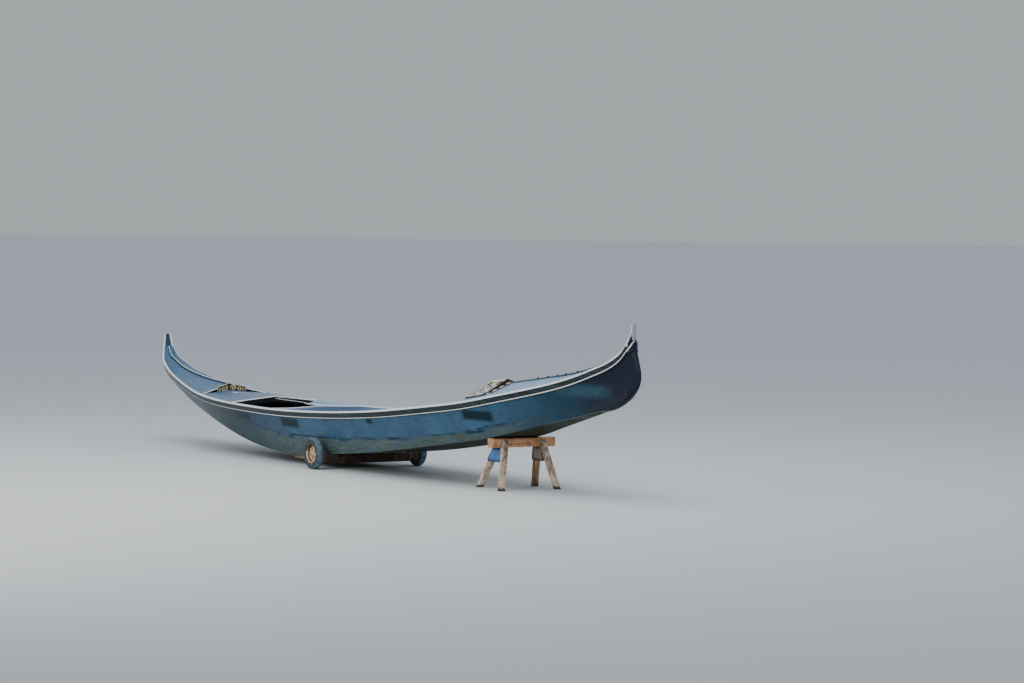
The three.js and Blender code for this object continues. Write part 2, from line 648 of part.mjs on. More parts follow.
const BRACKET = 10;
const BRACKET_HALF_X = 50;
const BRACKET_BASE = 70;
const BRACKET_TOP = 214;
const COLLAR_R = 15;
const END_COLLAR_R = 18;
const END_COLLAR = 6;
const HUB_HALF = 44;
const HUB_PLAY = 1; // between the hub and the collar at each end of it
const WELD = 1;
const AXLE_SIDES = 24;
function axleCylinder(radius, y0, y1) {
  const geometry = new THREE.CylinderGeometry(radius, radius, y1 - y0, AXLE_SIDES);
  geometry.translate(WHEEL_X, (y0 + y1) / 2, TYRE_R);
  return geometry;
}
const bracketXs = [WHEEL_X - BRACKET_HALF_X, WHEEL_X + BRACKET_HALF_X];
for (const [name, side] of SIDES) {
  const plateInner = BOLSTER_HALF_Y + GAP;
  const plateOuter = plateInner + BRACKET;
  const endCollar = TRACK_HALF + HUB_HALF + HUB_PLAY;
  const geometry = join([
    block(...bracketXs, plateInner, plateOuter, BRACKET_BASE, BRACKET_TOP),
    axleCylinder(COLLAR_R, plateOuter - WELD, TRACK_HALF - HUB_HALF - HUB_PLAY),
    axleCylinder(AXLE_R, plateOuter - WELD, endCollar + WELD),
    axleCylinder(END_COLLAR_R, endCollar, endCollar + END_COLLAR),
  ]);
  if (side < 0) geometry.rotateZ(Math.PI).translate(2 * WHEEL_X, 0, 0);
  add(`dolly_${name}_bracket`, geometry, 'steel');
}

// Wheel: a pressed disc rim with a hub, and a tyre. Profiles are [radius, offset from the middle].
const WHEEL_SIDES = 36;
function turned(points, y) {
  const shape = points.map(([r, offset]) => new THREE.Vector2(r, offset));
  shape.push(shape[0].clone());
  const geometry = new THREE.LatheGeometry(shape, WHEEL_SIDES);
  geometry.translate(WHEEL_X, y, TYRE_R);
  return outward(merged(geometry));
}
const HUB_BORE = AXLE_R + 0.6;
const HUB_R = 27;
const BEAD_R = 97;
const RIM_PROFILE = [
  [HUB_BORE, -HUB_HALF], [HUB_R, -HUB_HALF], [HUB_R, -6], [62, -14], [90, -12], [92, -31], [RIM_R, -36],
  [RIM_R, -31], [BEAD_R, -27], [BEAD_R, 27], [RIM_R, 31], [RIM_R, 36], [92, 31], [90, -6], [62, -8],
  [HUB_R, 0], [HUB_R, HUB_HALF], [HUB_BORE, HUB_HALF],
];
const wall = TYRE_WIDTH / 2;
const TYRE_HALF = [
  [BEAD_R + GAP, 24], [RIM_R + GAP, 29], [RIM_R + 4, 36.5], [RIM_R + 14, wall - 2], [RIM_R + 30, wall],
  [TYRE_R - 12, wall - 5], [TYRE_R - 3, wall - 14], [TYRE_R, wall - 24],
];
const TYRE_PROFILE = [...TYRE_HALF.map(([r, offset]) => [r, -offset]), ...TYRE_HALF.reverse()];
for (const [name, side] of SIDES) {
  add(`${name}_rim`, turned(RIM_PROFILE, side * TRACK_HALF), 'rim');
  add(`${name}_tyre`, turned(TYRE_PROFILE, side * TRACK_HALF), 'tyre');
}

// Trestle: a heavy beam, four splayed legs let in under it, and a gusset at each end
const trestleTop = floorZ(TRESTLE_X + TRESTLE_BEAM_HALF_X) - GAP;
const trestleUnder = trestleTop - TRESTLE_BEAM_DEPTH;
const trestleEnds = [TRESTLE_Y - TRESTLE_HALF_LENGTH, TRESTLE_Y + TRESTLE_HALF_LENGTH];
const trestleSides = [TRESTLE_X - TRESTLE_BEAM_HALF_X, TRESTLE_X + TRESTLE_BEAM_HALF_X];
add('trestle_beam', block(...trestleSides, ...trestleEnds, trestleUnder, trestleTop), 'wood');

// Each leg is notched: it stands under the beam with a shoulder and laps up its face
const LEG_HALF = 30;
const LEG_HEAD_X = 75;
const LEG_LAP = 80;
const LEGS = [
  // name, towards the bow, foot's distance from the beam's middle, foot y, head y
  ['port_fore', 1, 300, 215, 130],
  ['port_aft', -1, 268, 290, 142],
  ['starboard_fore', 1, 150, -370, -356],
  ['starboard_aft', -1, 265, -392, -340],
];
const shoulder = trestleUnder - GAP;
const legShare = (z) => (shoulder - z) / shoulder;
const legX = (footX, z) => LEG_HEAD_X + (footX - LEG_HEAD_X) * legShare(z);
const legY = (footY, headY, z) => headY + (footY - headY) * legShare(z);

// A leg's outline is drawn across the beam as [distance from its middle, height], and carried along it
function leg(fore, footX, footY, headY) {
  const face = TRESTLE_BEAM_HALF_X + GAP;
  const lapTop = shoulder + LEG_LAP;
  const outline = [
    [footX - LEG_HALF, 0], [footX + LEG_HALF, 0], [legX(footX, lapTop) + LEG_HALF, lapTop],
    [face, lapTop], [face, shoulder], [legX(footX, shoulder) - LEG_HALF, shoulder],
  ];
  const geometry = loft([-LEG_HALF, LEG_HALF].map((along) => outline.map(([x, z]) => [along, x, z])));
  const p = geometry.attributes.position;
  for (let i = 0; i < p.count; i += 1) {
    const [offset, x, z] = [p.getX(i), p.getY(i), p.getZ(i)];
    p.setXYZ(i, TRESTLE_X + fore * x, legY(footY, headY, z) + offset, z);
  }
  return outward(geometry);
}
for (const [name, fore, footX, footY, headY] of LEGS) {
  add(`trestle_${name}_leg`, leg(fore, footX, footY, headY), 'wood');
}

// A gusset is nailed on the port side of each fore leg and ends against the aft leg
const GUSSET = 16;
const GUSSET_DEPTH = 150;
const GUSSETS = [
  // name, colour, row of its fore leg, row of its aft leg
  ['port', 'blue', LEGS[0], LEGS[1]],
  ['starboard', 'ply', LEGS[2], LEGS[3]],
];
for (const [name, colour, [, , foreX, footY, headY], [, , aftX]] of GUSSETS) {
  const ring = (z) => {
    const [x0, x1] = [TRESTLE_X - legX(aftX, z) + LEG_HALF + GAP, TRESTLE_X + legX(foreX, z) + LEG_HALF];
    const y = legY(footY, headY, z) + LEG_HALF + GAP;
    return [[x0, y, z], [x1, y, z], [x1, y + GUSSET, z], [x0, y + GUSSET, z]];
  };
  add(`trestle_${name}_gusset`, upright(ring(shoulder - GUSSET_DEPTH), ring(shoulder)), colour);
}

// A straight body between two level rings
function upright(foot, head) {
  const n = foot.length;
  const index = [];
  for (let j = 0; j < n; j += 1) {
    const k = (j + 1) % n;
    index.push(j, k, n + k, j, n + k, n + j);
  }
  for (let j = 1; j < n - 1; j += 1) {
    index.push(0, j + 1, j);
    index.push(n, n + j, n + j + 1);
  }
  const geometry = new THREE.BufferGeometry();
  geometry.setAttribute('position', new THREE.Float32BufferAttribute([...foot, ...head].flat(), 3));
  geometry.setIndex(index);
  return outward(geometry);
}

export default boat;
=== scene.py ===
"""A black Venetian rowing boat, stripped and laid up on land, on a two-wheel dolly and a wooden trestle.

Metres, +X towards the bow, +Y to port, +Z up, the ground at Z = 0. The boat's lines are measured on the
frame's own solids and drawn smooth. Every new surface is an array of sections, worked out with numpy.
"""
import math

import bmesh
import bpy
import numpy as np
from mathutils import Matrix, Vector


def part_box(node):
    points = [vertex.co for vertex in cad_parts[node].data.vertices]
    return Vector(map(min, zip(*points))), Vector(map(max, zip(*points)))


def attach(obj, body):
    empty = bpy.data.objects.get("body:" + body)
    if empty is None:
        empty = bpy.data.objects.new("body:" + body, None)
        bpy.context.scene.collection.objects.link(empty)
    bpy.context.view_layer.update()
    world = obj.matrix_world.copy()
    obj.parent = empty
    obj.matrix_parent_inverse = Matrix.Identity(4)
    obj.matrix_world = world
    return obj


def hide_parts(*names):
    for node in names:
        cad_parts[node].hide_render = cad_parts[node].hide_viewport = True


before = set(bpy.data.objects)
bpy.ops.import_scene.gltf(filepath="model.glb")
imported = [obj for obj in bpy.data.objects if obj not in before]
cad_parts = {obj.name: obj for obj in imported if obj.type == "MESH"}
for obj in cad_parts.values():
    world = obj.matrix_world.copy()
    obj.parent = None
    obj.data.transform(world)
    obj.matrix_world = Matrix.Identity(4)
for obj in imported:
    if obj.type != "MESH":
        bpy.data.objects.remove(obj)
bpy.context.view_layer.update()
scene = bpy.context.scene

SIDES = (("port", 1), ("starboard", -1))

# Camera: the photograph's own view
CAMERA_PLACE = (-34.698, 19.186, 2.955)
CAMERA_YAW = math.radians(31.283)
CAMERA_PITCH = math.radians(2.203)
CAMERA_ROLL = math.radians(0.694)
CAMERA_LENS = 124.63
SENSOR_WIDTH = 36.0

# Scantlings, as in the solids
PLANK = 0.018
FLOOR_PLANK = 0.022
WALE = 0.022
WALE_DEPTH = 0.086
WALE_SHARE = 0.55
RAIL_THICK = 0.012
RAIL_LIP = 0.003
RAIL_WIDTH = 0.028
DECK = 0.012
GAP = 0.0003
FLARE_POWER = 0.85
SIDE_DECK_WIDTH = 0.150
COAMING = 0.018
COAMING_LIP = 0.010
COAMING_DEPTH = 0.078
TRACK_HALF = 0.662
TYRE_RADIUS = 0.1725

# Both decks end in a shallow V in plan, its point towards the bow
FORE_DECK_END = 3.500
FORE_SWEEP = 0.170
FORE_PITCH = 0.22
AFT_DECK_END = -2.820
AFT_SWEEP = 0.120
AFT_KNEE = 0.172
AFT_PITCH = 0.35
FORE_BOARD_SHARE = 0.45
FORE_BOARD_THICK = 0.022
FORE_BOARD_RISE = 0.014
FORE_BOARD_DROP = 0.038
WELL_END = 2.250
WELL_RISE_AFT = 0.060
WELL_RISE_FORE = 0.020
CARVING_LENGTH = 0.300
CARVING_SHARE = 0.82

# Lengths that planking and wales are butted from
PLANK_LENGTHS = ("stern", "aft", "fore", "bow")
WALE_LENGTHS = ("aft", "fore")


# Shapes


def corners(node):
    """The corner points of a CAD node, as an array of rows x, y, z."""
    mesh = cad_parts[node].data
    points = np.empty(3 * len(mesh.vertices))
    mesh.vertices.foreach_get("co", points)
    return points.reshape(-1, 3)


def extreme_at_stations(points, axis, highest):
    """For each distinct x among the points, the highest or lowest coordinate on an axis."""
    stations, index = np.unique(points[:, 0].round(4), return_inverse=True)
    values = np.full(len(stations), -np.inf if highest else np.inf)
    (np.maximum if highest else np.minimum).at(values, index.ravel(), points[:, axis])
    return stations, values


def smooth_curve(x, y):
    """Natural cubic spline through the points (x, y): the second derivatives solve one linear system."""
    h = np.diff(x)
    last = len(x) - 1
    system = np.eye(last + 1)
    slope_change = np.zeros(last + 1)
    i = np.arange(1, last)
    system[i, i - 1] = h[:-1]
    system[i, i] = 2 * (h[:-1] + h[1:])
    system[i, i + 1] = h[1:]
    slope_change[1:-1] = 6 * (np.diff(y[1:]) / h[1:] - np.diff(y[:-1]) / h[:-1])
    bend = np.linalg.solve(system, slope_change)

    def curve(at):
        k = np.clip(np.searchsorted(x, at) - 1, 0, last - 1)
        a = (x[k + 1] - at) / h[k]
        b = 1 - a
        cubic = (a**3 - a) * bend[k] + (b**3 - b) * bend[k + 1]
        return a * y[k] + b * y[k + 1] + cubic * h[k] ** 2 / 6

    return curve


port_rail = corners("port_gunwale")
starboard_rail = corners("starboard_gunwale")
port_planking = np.concatenate([corners(f"port_{length}_side_planking") for length in PLANK_LENGTHS])
stations, rail_port_y = extreme_at_stations(port_rail, 1, True)
rail_starboard_y = extreme_at_stations(starboard_rail, 1, False)[1]
rail_z = extreme_at_stations(port_rail, 2, True)[1]
plank_stations, plank_low = extreme_at_stations(port_planking, 2, False)
at_foot = port_planking[:, 2] < np.interp(port_planking[:, 0], plank_stations, plank_low) + 0.001
plank_floor_z = np.interp(stations, plank_stations, plank_low)
plank_foot_y = np.interp(stations, *extreme_at_stations(port_planking[at_foot], 1, True))

middle = smooth_curve(stations, (rail_port_y + rail_starboard_y) / 2)
half_beam = smooth_curve(stations, (rail_port_y - rail_starboard_y) / 2 - RAIL_LIP)
sheer = smooth_curve(stations, rail_z)
floor_z = smooth_curve(stations, plank_floor_z)
floor_half = smooth_curve(stations, plank_foot_y - (rail_port_y + rail_starboard_y) / 2)
HULL_FROM, HULL_TO = stations[0], stations[-1]


def plank_top(x):
    """Height of the planking's upper edge, under the rail."""
    return sheer(x) - RAIL_THICK - GAP


def side_half(x, share):
    """Half breadth of the planking's outer face at a share of its height: a power curve, a little full."""
    foot = floor_half(x)
    return foot + (half_beam(x) - WALE - foot) * np.clip(share, 0, 1) ** FLARE_POWER


def deck_half(x):
    """Half breadth of a deck, out to the rail's inner edge."""
    return half_beam(x) - RAIL_WIDTH


def wale_bottom(x):
    """Height of the wale's lower edge."""
    return sheer(x) - np.minimum(WALE_DEPTH, WALE_SHARE * (sheer(x) - floor_z(x)))


def share_at(x, z):
    """Share of the planking's height at a height z."""
    return (z - floor_z(x)) / (plank_top(x) - floor_z(x))


EASE_STEPS = 4  # points round each eased corner


def eased(outline, radius):
    """Sections with eased corners: each corner becomes a parabola between two points a radius away from it.

    outline is an array of stations by corners by 2, and radius one value or one for each corner.
    """
    def unit(v):
        return v / np.maximum(np.linalg.norm(v, axis=-1, keepdims=True), 1e-9)

    before = np.roll(outline, 1, axis=1) - outline
    after = np.roll(outline, -1, axis=1) - outline
    reach = np.broadcast_to(radius, outline.shape[1])[None, :, None]
    start = outline + reach * unit(before)
    end = outline + reach * unit(after)
    t = np.linspace(0, 1, EASE_STEPS)[None, None, :, None]
    start, corner, end = start[:, :, None], outline[:, :, None], end[:, :, None]
    arcs = (1 - t) ** 2 * start + 2 * t * (1 - t) * corner + t**2 * end
    return arcs.reshape(len(outline), -1, 2)


def outlines(*pairs):
    """Stacks pairs (offset, height), each an array along the stations or one value, into an outline array."""
    size = max(np.size(value) for pair in pairs for value in pair)
    return np.stack([np.stack([np.broadcast_to(v, size) for v in pair], axis=-1) for pair in pairs], axis=1)


def hull_rings(x, offsets, heights, side=1):
    """Rings around the boat, their offsets measured from its middle line towards one side. x is one value for
    each ring, or one for each point where an end is swept in plan."""
    shape = np.broadcast_shapes(offsets.shape, heights.shape)
    along = np.broadcast_to(x if np.ndim(x) == 2 else x[:, None], shape)
    return np.stack([along, middle(along) + side * offsets, np.broadcast_to(heights, shape)], axis=-1)


def outline_rings(x, outline, side=1):
    """Rings from an outline array of stations by corners by (offset, height)."""
    return hull_rings(x, outline[:, :, 0], outline[:, :, 1], side)


def out_and_back(out, back=None):
    """Columns out along one face and back along the other, or along the same one where no other is given."""
    return np.concatenate([out, (out if back is None else back)[:, ::-1]], axis=1)


def full_turn(count):
    """Angles spaced evenly round a full turn."""
    return np.linspace(0, 2 * np.pi, count, endpoint=False)


def rounded_section(count, power):
    """Points of a rounded square of half width 1: a superellipse, cosine and sine raised to a low power."""
    turn = full_turn(count)
    c, s = np.cos(turn), np.sin(turn)
    return np.sign(c) * np.abs(c) ** power, np.sign(s) * np.abs(s) ** power


def ring_faces(rows, columns):
    """Quads between rows of points that each close on themselves, and a face at each end."""
    index = np.arange(rows * columns).reshape(rows, columns)
    beside = np.roll(index, -1, axis=1)
    quads = np.stack([index[:-1], beside[:-1], beside[1:], index[1:]], axis=-1).reshape(-1, 4)
    return quads.tolist() + [index[0, ::-1].tolist(), index[-1].tolist()]


def turned_faces(rows, columns):
    """Quads of a body of revolution: rows around the axis and columns around the profile both close."""
    index = np.arange(rows * columns).reshape(rows, columns)
    beside = np.roll(index, -1, axis=1)
    after = np.roll(index, -1, axis=0)
    return np.stack([index, beside, np.roll(beside, -1, axis=0), after], axis=-1).reshape(-1, 4).tolist()


def points_out(points, faces):
    """Faces turned so that the body's volume, summed over fans of triangles, is positive."""
    volume = 0.0
    for size in {len(face) for face in faces}:
        fan = np.array([face for face in faces if len(face) == size])
        for k in range(1, size - 1):
            a, b, c = points[fan[:, 0]], points[fan[:, k]], points[fan[:, k + 1]]
            volume += np.einsum("ij,ij->", a, np.cross(b, c))
    return faces if volume > 0 else [face[::-1] for face in faces]


SHARP_EDGE = 35.0  # degrees between two faces from which their edge is drawn sharp


class Body:
    """Collects closed bodies of one piece, each with its faces pointing out."""

    def __init__(self):
        self.points, self.faces, self.values, self.count = [], [], {}, 0

    def rings(self, rings, turned=False, **values):
        """Adds a body through rings of points; values are arrays of the rings' shape, kept as attributes."""
        rows, columns = rings.shape[:2]
        points = rings.reshape(-1, 3)
        faces = points_out(points, (turned_faces if turned else ring_faces)(rows, columns))
        self.faces += [[v + self.count for v in face] for face in faces]
        self.points.append(points)
        for name, value in values.items():
            full = np.broadcast_to(value, (rows, columns)).ravel()
            self.values.setdefault(name, []).append((self.count, full))
        self.count += len(points)
        return self

    def piece(self, name, material, slot, body="hull", stands_for=(), sharp=SHARP_EDGE):
        """Makes the mesh, shades it smooth but for its sharp edges, and lets it ride on a body."""
        mesh = bpy.data.meshes.new(name)
        mesh.from_pydata(np.concatenate(self.points).tolist(), [], self.faces)
        for attribute, parts in self.values.items():
            full = np.zeros(self.count)
            for start, value in parts:
                full[start:start + len(value)] = value
            mesh.attributes.new(attribute, "FLOAT", "POINT").data.foreach_set("value", full)
        return as_piece(mesh, name, material, body, stands_for, sharp)


def bump_at(value, centre, width):
    """A smooth bump: 1 at the centre, falling to 0 a few widths away."""
    return np.exp(-(((value - centre) / width) ** 2))


def step_at(value, start, end):
    """0 before start, 1 after end, smooth between."""
    t = np.clip((value - start) / (end - start), 0, 1)
    return t * t * (3 - 2 * t)


def bevel(work, edges, offset, segments):
    bmesh.ops.bevel(work, geom=edges, offset=offset, segments=segments, profile=0.5, affect="EDGES",
                    clamp_overlap=True)


def softened(node, name, material, ease, round_foot):
    """A copy of a solid: its loose triangles merged, its flat faces joined, and its edges eased by a
    bevel. A plate across the boat's side can have its two lower corners rounded."""
    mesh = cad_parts[node].data.copy()
    mesh.name = name
    work = bmesh.new()
    work.from_mesh(mesh)
    bmesh.ops.remove_doubles(work, verts=work.verts, dist=2e-5)
    bmesh.ops.dissolve_limit(work, angle_limit=math.radians(0.8), verts=work.verts, edges=work.edges)
    if round_foot:
        half_height = (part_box(node)[0][2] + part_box(node)[1][2]) / 2
        feet = [e for e in work.edges if max(v.co.z for v in e.verts) < half_height
                and abs(e.verts[0].co.y - e.verts[1].co.y) > 0.7 * e.calc_length()]
        bevel(work, feet, round_foot, 5)
    edges = [e for e in work.edges if len(e.link_faces) == 2 and e.calc_face_angle() > math.radians(25)]
    bevel(work, edges, ease, 2)
    work.to_mesh(mesh)
    work.free()
    mesh.materials.clear()
    return as_piece(mesh, name, material, "hull", [node], SHARP_EDGE)


def as_piece(mesh, name, material, body, stands_for, sharp):
    """Shades a mesh smooth but for its sharp edges, and makes it a piece that rides on a body."""
    mesh.shade_smooth()
    mesh.set_sharp_from_angle(angle=math.radians(sharp))
    mesh.materials.append(material)
    made = bpy.data.objects.new(name, mesh)
    scene.collection.objects.link(made)
    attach(made, body)
    if stands_for:
        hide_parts(*stands_for)
    return made


def waver(*coordinates):
    """A gentle irregular value between about -1 and 1, a sum of sines in each coordinate."""
    total = 0.0
    for i, c in enumerate(coordinates):
        for size, pace, shift in ((1.0, 7.3, 1.7), (0.6, 17.9, 2.9), (0.35, 41.3, 0.7)):
            total = total + size * np.sin(pace * c + shift * i)
    return total / (1.95 * len(coordinates))


# Materials


def give(tree, node, inputs):
    """Sets a node's inputs by name or number, each to a value or from another node's socket."""
    for name, value in inputs.items():
        if isinstance(value, bpy.types.NodeSocket):
            tree.links.new(value, node.inputs[name])
        else:
            node.inputs[name].default_value = value


def put(tree, kind, inputs=None, **settings):
    """Adds a shader node, sets its properties and gives it its inputs."""
    node = tree.nodes.new("ShaderNode" + kind)
    for name, value in settings.items():
        setattr(node, name, value)
    give(tree, node, inputs or {})
    return node


def colour(r, g, b):
    return (r, g, b, 1.0)


def mix(tree, factor, a, b):
    """From one colour to another."""
    return put(tree, "Mix", {0: factor, 6: a, 7: b}, data_type="RGBA").outputs[2]


def math_node(tree, operation, a, b=0.0):
    return put(tree, "Math", {0: a, 1: b}, operation=operation).outputs[0]


def times(tree, a, b, plus=0.0):
    """The product of two values, with a third added."""
    return put(tree, "Math", {0: a, 1: b, 2: plus}, operation="MULTIPLY_ADD").outputs[0]


def axis_of(tree, vector, axis):
    """One coordinate of a vector."""
    return put(tree, "SeparateXYZ", {0: vector}).outputs[axis]


def noise(tree, place, size, detail=5.0, roughness=0.6, distortion=0.0):
    inputs = {"Vector": place, "Scale": size, "Detail": detail, "Roughness": roughness,
              "Distortion": distortion}
    return put(tree, "TexNoise", inputs).outputs["Fac"]


def ramp_value(tree, value, low, high, out_low=0.0, out_high=1.0):
    """A smooth step of a value, from low to high."""
    inputs = {"Value": value, "From Min": low, "From Max": high, "To Min": out_low, "To Max": out_high}
    return put(tree, "MapRange", inputs, interpolation_type="SMOOTHSTEP").outputs["Result"]


def window(tree, value, first, second):
    """A mask between two soft limits: the product of two smooth steps, each given as (start, end)."""
    return times(tree, ramp_value(tree, value, *first), ramp_value(tree, value, *second))


def new_group(name, inputs, outputs):
    """An empty shader node group with named sockets. Each socket is (name, kind, default)."""
    group = bpy.data.node_groups.new(name, "ShaderNodeTree")
    kinds = {"float": "NodeSocketFloat", "vector": "NodeSocketVector", "colour": "NodeSocketColor"}
    for socket_name, kind, default in inputs:
        socket = group.interface.new_socket(socket_name, in_out="INPUT", socket_type=kinds[kind])
        if default is not None:
            socket.default_value = default
    for socket_name, kind in outputs:
        group.interface.new_socket(socket_name, in_out="OUTPUT", socket_type=kinds[kind])
    return group, group.nodes.new("NodeGroupInput"), group.nodes.new("NodeGroupOutput")


def squeezed_place(group, given):
    """A group's coordinates, multiplied by its own squeeze along each axis."""
    factors = {0: given.outputs["Vector"], 1: given.outputs["Squeeze"]}
    return put(group, "VectorMath", factors, operation="MULTIPLY").outputs[0]


def streaks_group():
    """Smears along one axis: noise of which the coordinates are squeezed along it."""
    group, given, made = new_group(
        "streaks",
        [("Vector", "vector", None), ("Squeeze", "vector", (1, 1, 1)), ("Size", "float", 5.0),
         ("Low", "float", 0.4), ("High", "float", 0.6)],
        [("Mask", "float")],
    )
    squeezed = squeezed_place(group, given)
    smears = noise(group, squeezed, given.outputs["Size"], 6.0, 0.62)
    mask = ramp_value(group, smears, given.outputs["Low"], given.outputs["High"])
    group.links.new(mask, made.inputs["Mask"])
    return group


def grain_group():
    """Weathered timber: long wavering fibres, dark pores and a height for the bump."""
    group, given, made = new_group(
        "timber_grain",
        [("Vector", "vector", None), ("Squeeze", "vector", (1, 1, 1)),
         ("Light", "colour", colour(0.6, 0.4, 0.25)), ("Dark", "colour", colour(0.2, 0.1, 0.05)),
         ("Stain", "colour", colour(0.1, 0.1, 0.09)), ("Stained", "float", 0.4)],
        [("Color", "colour"), ("Height", "float")],
    )
    squeezed = squeezed_place(group, given)
    pores = ramp_value(group, noise(group, squeezed, 26.0, 8.0, 0.7, 0.6), 0.38, 0.62)
    bands = ramp_value(group, noise(group, squeezed, 7.0, 3.0, 0.5), 0.35, 0.65)
    both = times(group, pores, 0.55, times(group, bands, 0.45))
    wood = mix(group, both, given.outputs["Dark"], given.outputs["Light"])
    blotch = noise(group, given.outputs["Vector"], 9.0, 5.0, 0.65)
    stained = times(group, ramp_value(group, blotch, 0.5, 0.68), given.outputs["Stained"])
    group.links.new(mix(group, stained, wood, given.outputs["Stain"]), made.inputs["Color"])
    group.links.new(both, made.inputs["Height"])
    return group


def dust_group():
    """Dust and scuffs: a soft mask of noise, stronger on faces that look up."""
    group, given, made = new_group(
        "dust",
        [("Vector", "vector", None), ("Size", "float", 6.0), ("Amount", "float", 0.5)],
        [("Mask", "float")],
    )
    specks = noise(group, given.outputs["Vector"], given.outputs["Size"], 6.0, 0.7)
    up = axis_of(group, put(group, "NewGeometry").outputs["Normal"], "Z")
    mask = times(group, ramp_value(group, specks, 0.42, 0.72), ramp_value(group, up, 0.0, 1.0, 0.35, 1.0))
    group.links.new(times(group, mask, given.outputs["Amount"]), made.inputs["Mask"])
    return group


STREAKS, GRAIN, DUST = streaks_group(), grain_group(), dust_group()


def use(tree, group, inputs):
    return put(tree, "Group", inputs, node_tree=group).outputs


def streaks(tree, place, squeezed, size, low, high):
    """A mask of smears, squeezed by a factor along each axis."""
    inputs = {"Vector": place, "Squeeze": squeezed, "Size": size, "Low": low, "High": high}
    return use(tree, STREAKS, inputs)["Mask"]


def dust_mask(tree, place, size, amount):
    return use(tree, DUST, {"Vector": place, "Size": size, "Amount": amount})["Mask"]


def new_material(name):
    """A material with its Principled shader, and the Object coordinates to start from."""
    material = bpy.data.materials.new(name)
    material.use_nodes = True
    tree = material.node_tree
    shader = tree.nodes["Principled BSDF"]
    place = put(tree, "TexCoord").outputs["Object"]
    return material, tree, shader, place


def finish_shader(tree, shader, base, roughness, height, depth, strength, shine=None):
    """Wires a base colour, a roughness and a bump into the Principled shader, and sets how much it
    mirrors."""
    bump = put(tree, "Bump", {"Height": height, "Distance": depth, "Strength": strength})
    give(tree, shader, {"Base Color": base, "Roughness": roughness, "Normal": bump.outputs["Normal"]})
    if shine is not None:
        shader.inputs["Specular IOR Level"].default_value = shine


def attribute(tree, name):
    return put(tree, "Attribute", attribute_name=name).outputs["Fac"]


def hull_paint(name, ends=False):
    """Glossy blue-black paint, with a grey-green band of dried mud low down and darker patches, and dull
    black inside. At the ends the same paint, with white lines, the wale's band, grey and deck paint where
    their masks say."""
    material, tree, shader, place = new_material(name)
    rise = attribute(tree, "rise")
    x_place = axis_of(tree, place, "X")
    cloud = noise(tree, place, 1.6, 4.0)
    smear = streaks(tree, place, (0.5, 1.0, 4.0), 4.0, 0.38, 0.66)
    fine = streaks(tree, place, (1.2, 1.0, 16.0), 9.0, 0.42, 0.66)
    clouds = ramp_value(tree, cloud, 0.35, 0.7)
    deep = mix(tree, clouds, colour(0.008, 0.030, 0.046), colour(0.014, 0.048, 0.074))
    blue = mix(tree, clouds, colour(0.036, 0.078, 0.142), colour(0.048, 0.130, 0.215))
    blue = mix(tree, times(tree, fine, 0.35), blue, colour(0.090, 0.180, 0.265))
    amidships = window(tree, x_place, (2.3, 0.5), (-4.9, -2.7))
    paint = mix(tree, amidships, deep, blue)
    aft = ramp_value(tree, x_place, -4.1, -5.1)
    paint = mix(tree, times(tree, aft, 0.85), paint, colour(0.017, 0.016, 0.028))
    # A paler teal band along the stern's turn
    z_place = axis_of(tree, place, "Z")
    across = put(tree, "MapRange", {"Value": z_place, "From Min": 1.00, "From Max": 1.07}).outputs["Result"]
    across = times(tree, across, ramp_value(tree, z_place, 1.19, 1.12))
    teal = times(tree, across, window(tree, x_place, (-4.1, -4.4), (-5.10, -4.80)))
    teal = times(tree, teal, ramp_value(tree, fine, 0.0, 1.0, 0.5, 0.9))
    paint = mix(tree, teal, paint, colour(0.038, 0.092, 0.130))
    # The top of the mud climbs slowly towards the bow
    top = math_node(tree, "MAXIMUM", times(tree, x_place, 0.042, 0.173), 0.08)
    edge = math_node(tree, "SUBTRACT", rise, math_node(tree, "MINIMUM", top, 0.23))
    edge = times(tree, math_node(tree, "SUBTRACT", smear, 0.5), 0.045, edge)
    mud = ramp_value(tree, edge, 0.020, -0.020)
    reach = window(tree, x_place, (2.5, 0.7), (-4.2, -3.0))
    mud = times(tree, mud, times(tree, reach, 0.85, 0.08))
    patchy = ramp_value(tree, noise(tree, place, 5.0, 7.0, 0.7), 0.3, 0.62, 0.45, 1.0)
    mud = times(tree, mud, patchy)
    mud_colour = mix(tree, fine, colour(0.070, 0.100, 0.088), colour(0.175, 0.200, 0.165))
    green = ramp_value(tree, x_place, -1.0, -3.0)
    mud_colour = mix(tree, times(tree, green, 0.6), mud_colour, colour(0.060, 0.080, 0.030))
    tide = window(tree, edge, (-0.012, 0.010), (0.040, 0.014))
    tide = times(tree, tide, times(tree, reach, ramp_value(tree, cloud, 0.42, 0.55)))
    base = mix(tree, mud, paint, mud_colour)
    base = mix(tree, times(tree, tide, 0.85), base, colour(0.006, 0.020, 0.034))
    base = mix(tree, times(tree, attribute(tree, "patch"), 0.92), base, colour(0.004, 0.016, 0.022))
    base = mix(tree, attribute(tree, "inside"), base, colour(0.012, 0.014, 0.015))
    rough = times(tree, mud, 0.40, times(tree, cloud, 0.16, 0.13))
    if ends:
        for mask, tint in (("deck", colour(0.030, 0.060, 0.100)), ("band", colour(0.016, 0.022, 0.023)),
                           ("grey", colour(0.34, 0.35, 0.43)), ("line", colour(0.84, 0.86, 0.86))):
            base = mix(tree, attribute(tree, mask), base, tint)
    height = times(tree, mud, 0.5, noise(tree, place, 60.0, 4.0))
    finish_shader(tree, shader, base, rough, height, 0.0012, 0.25, shine=0.05)
    return material


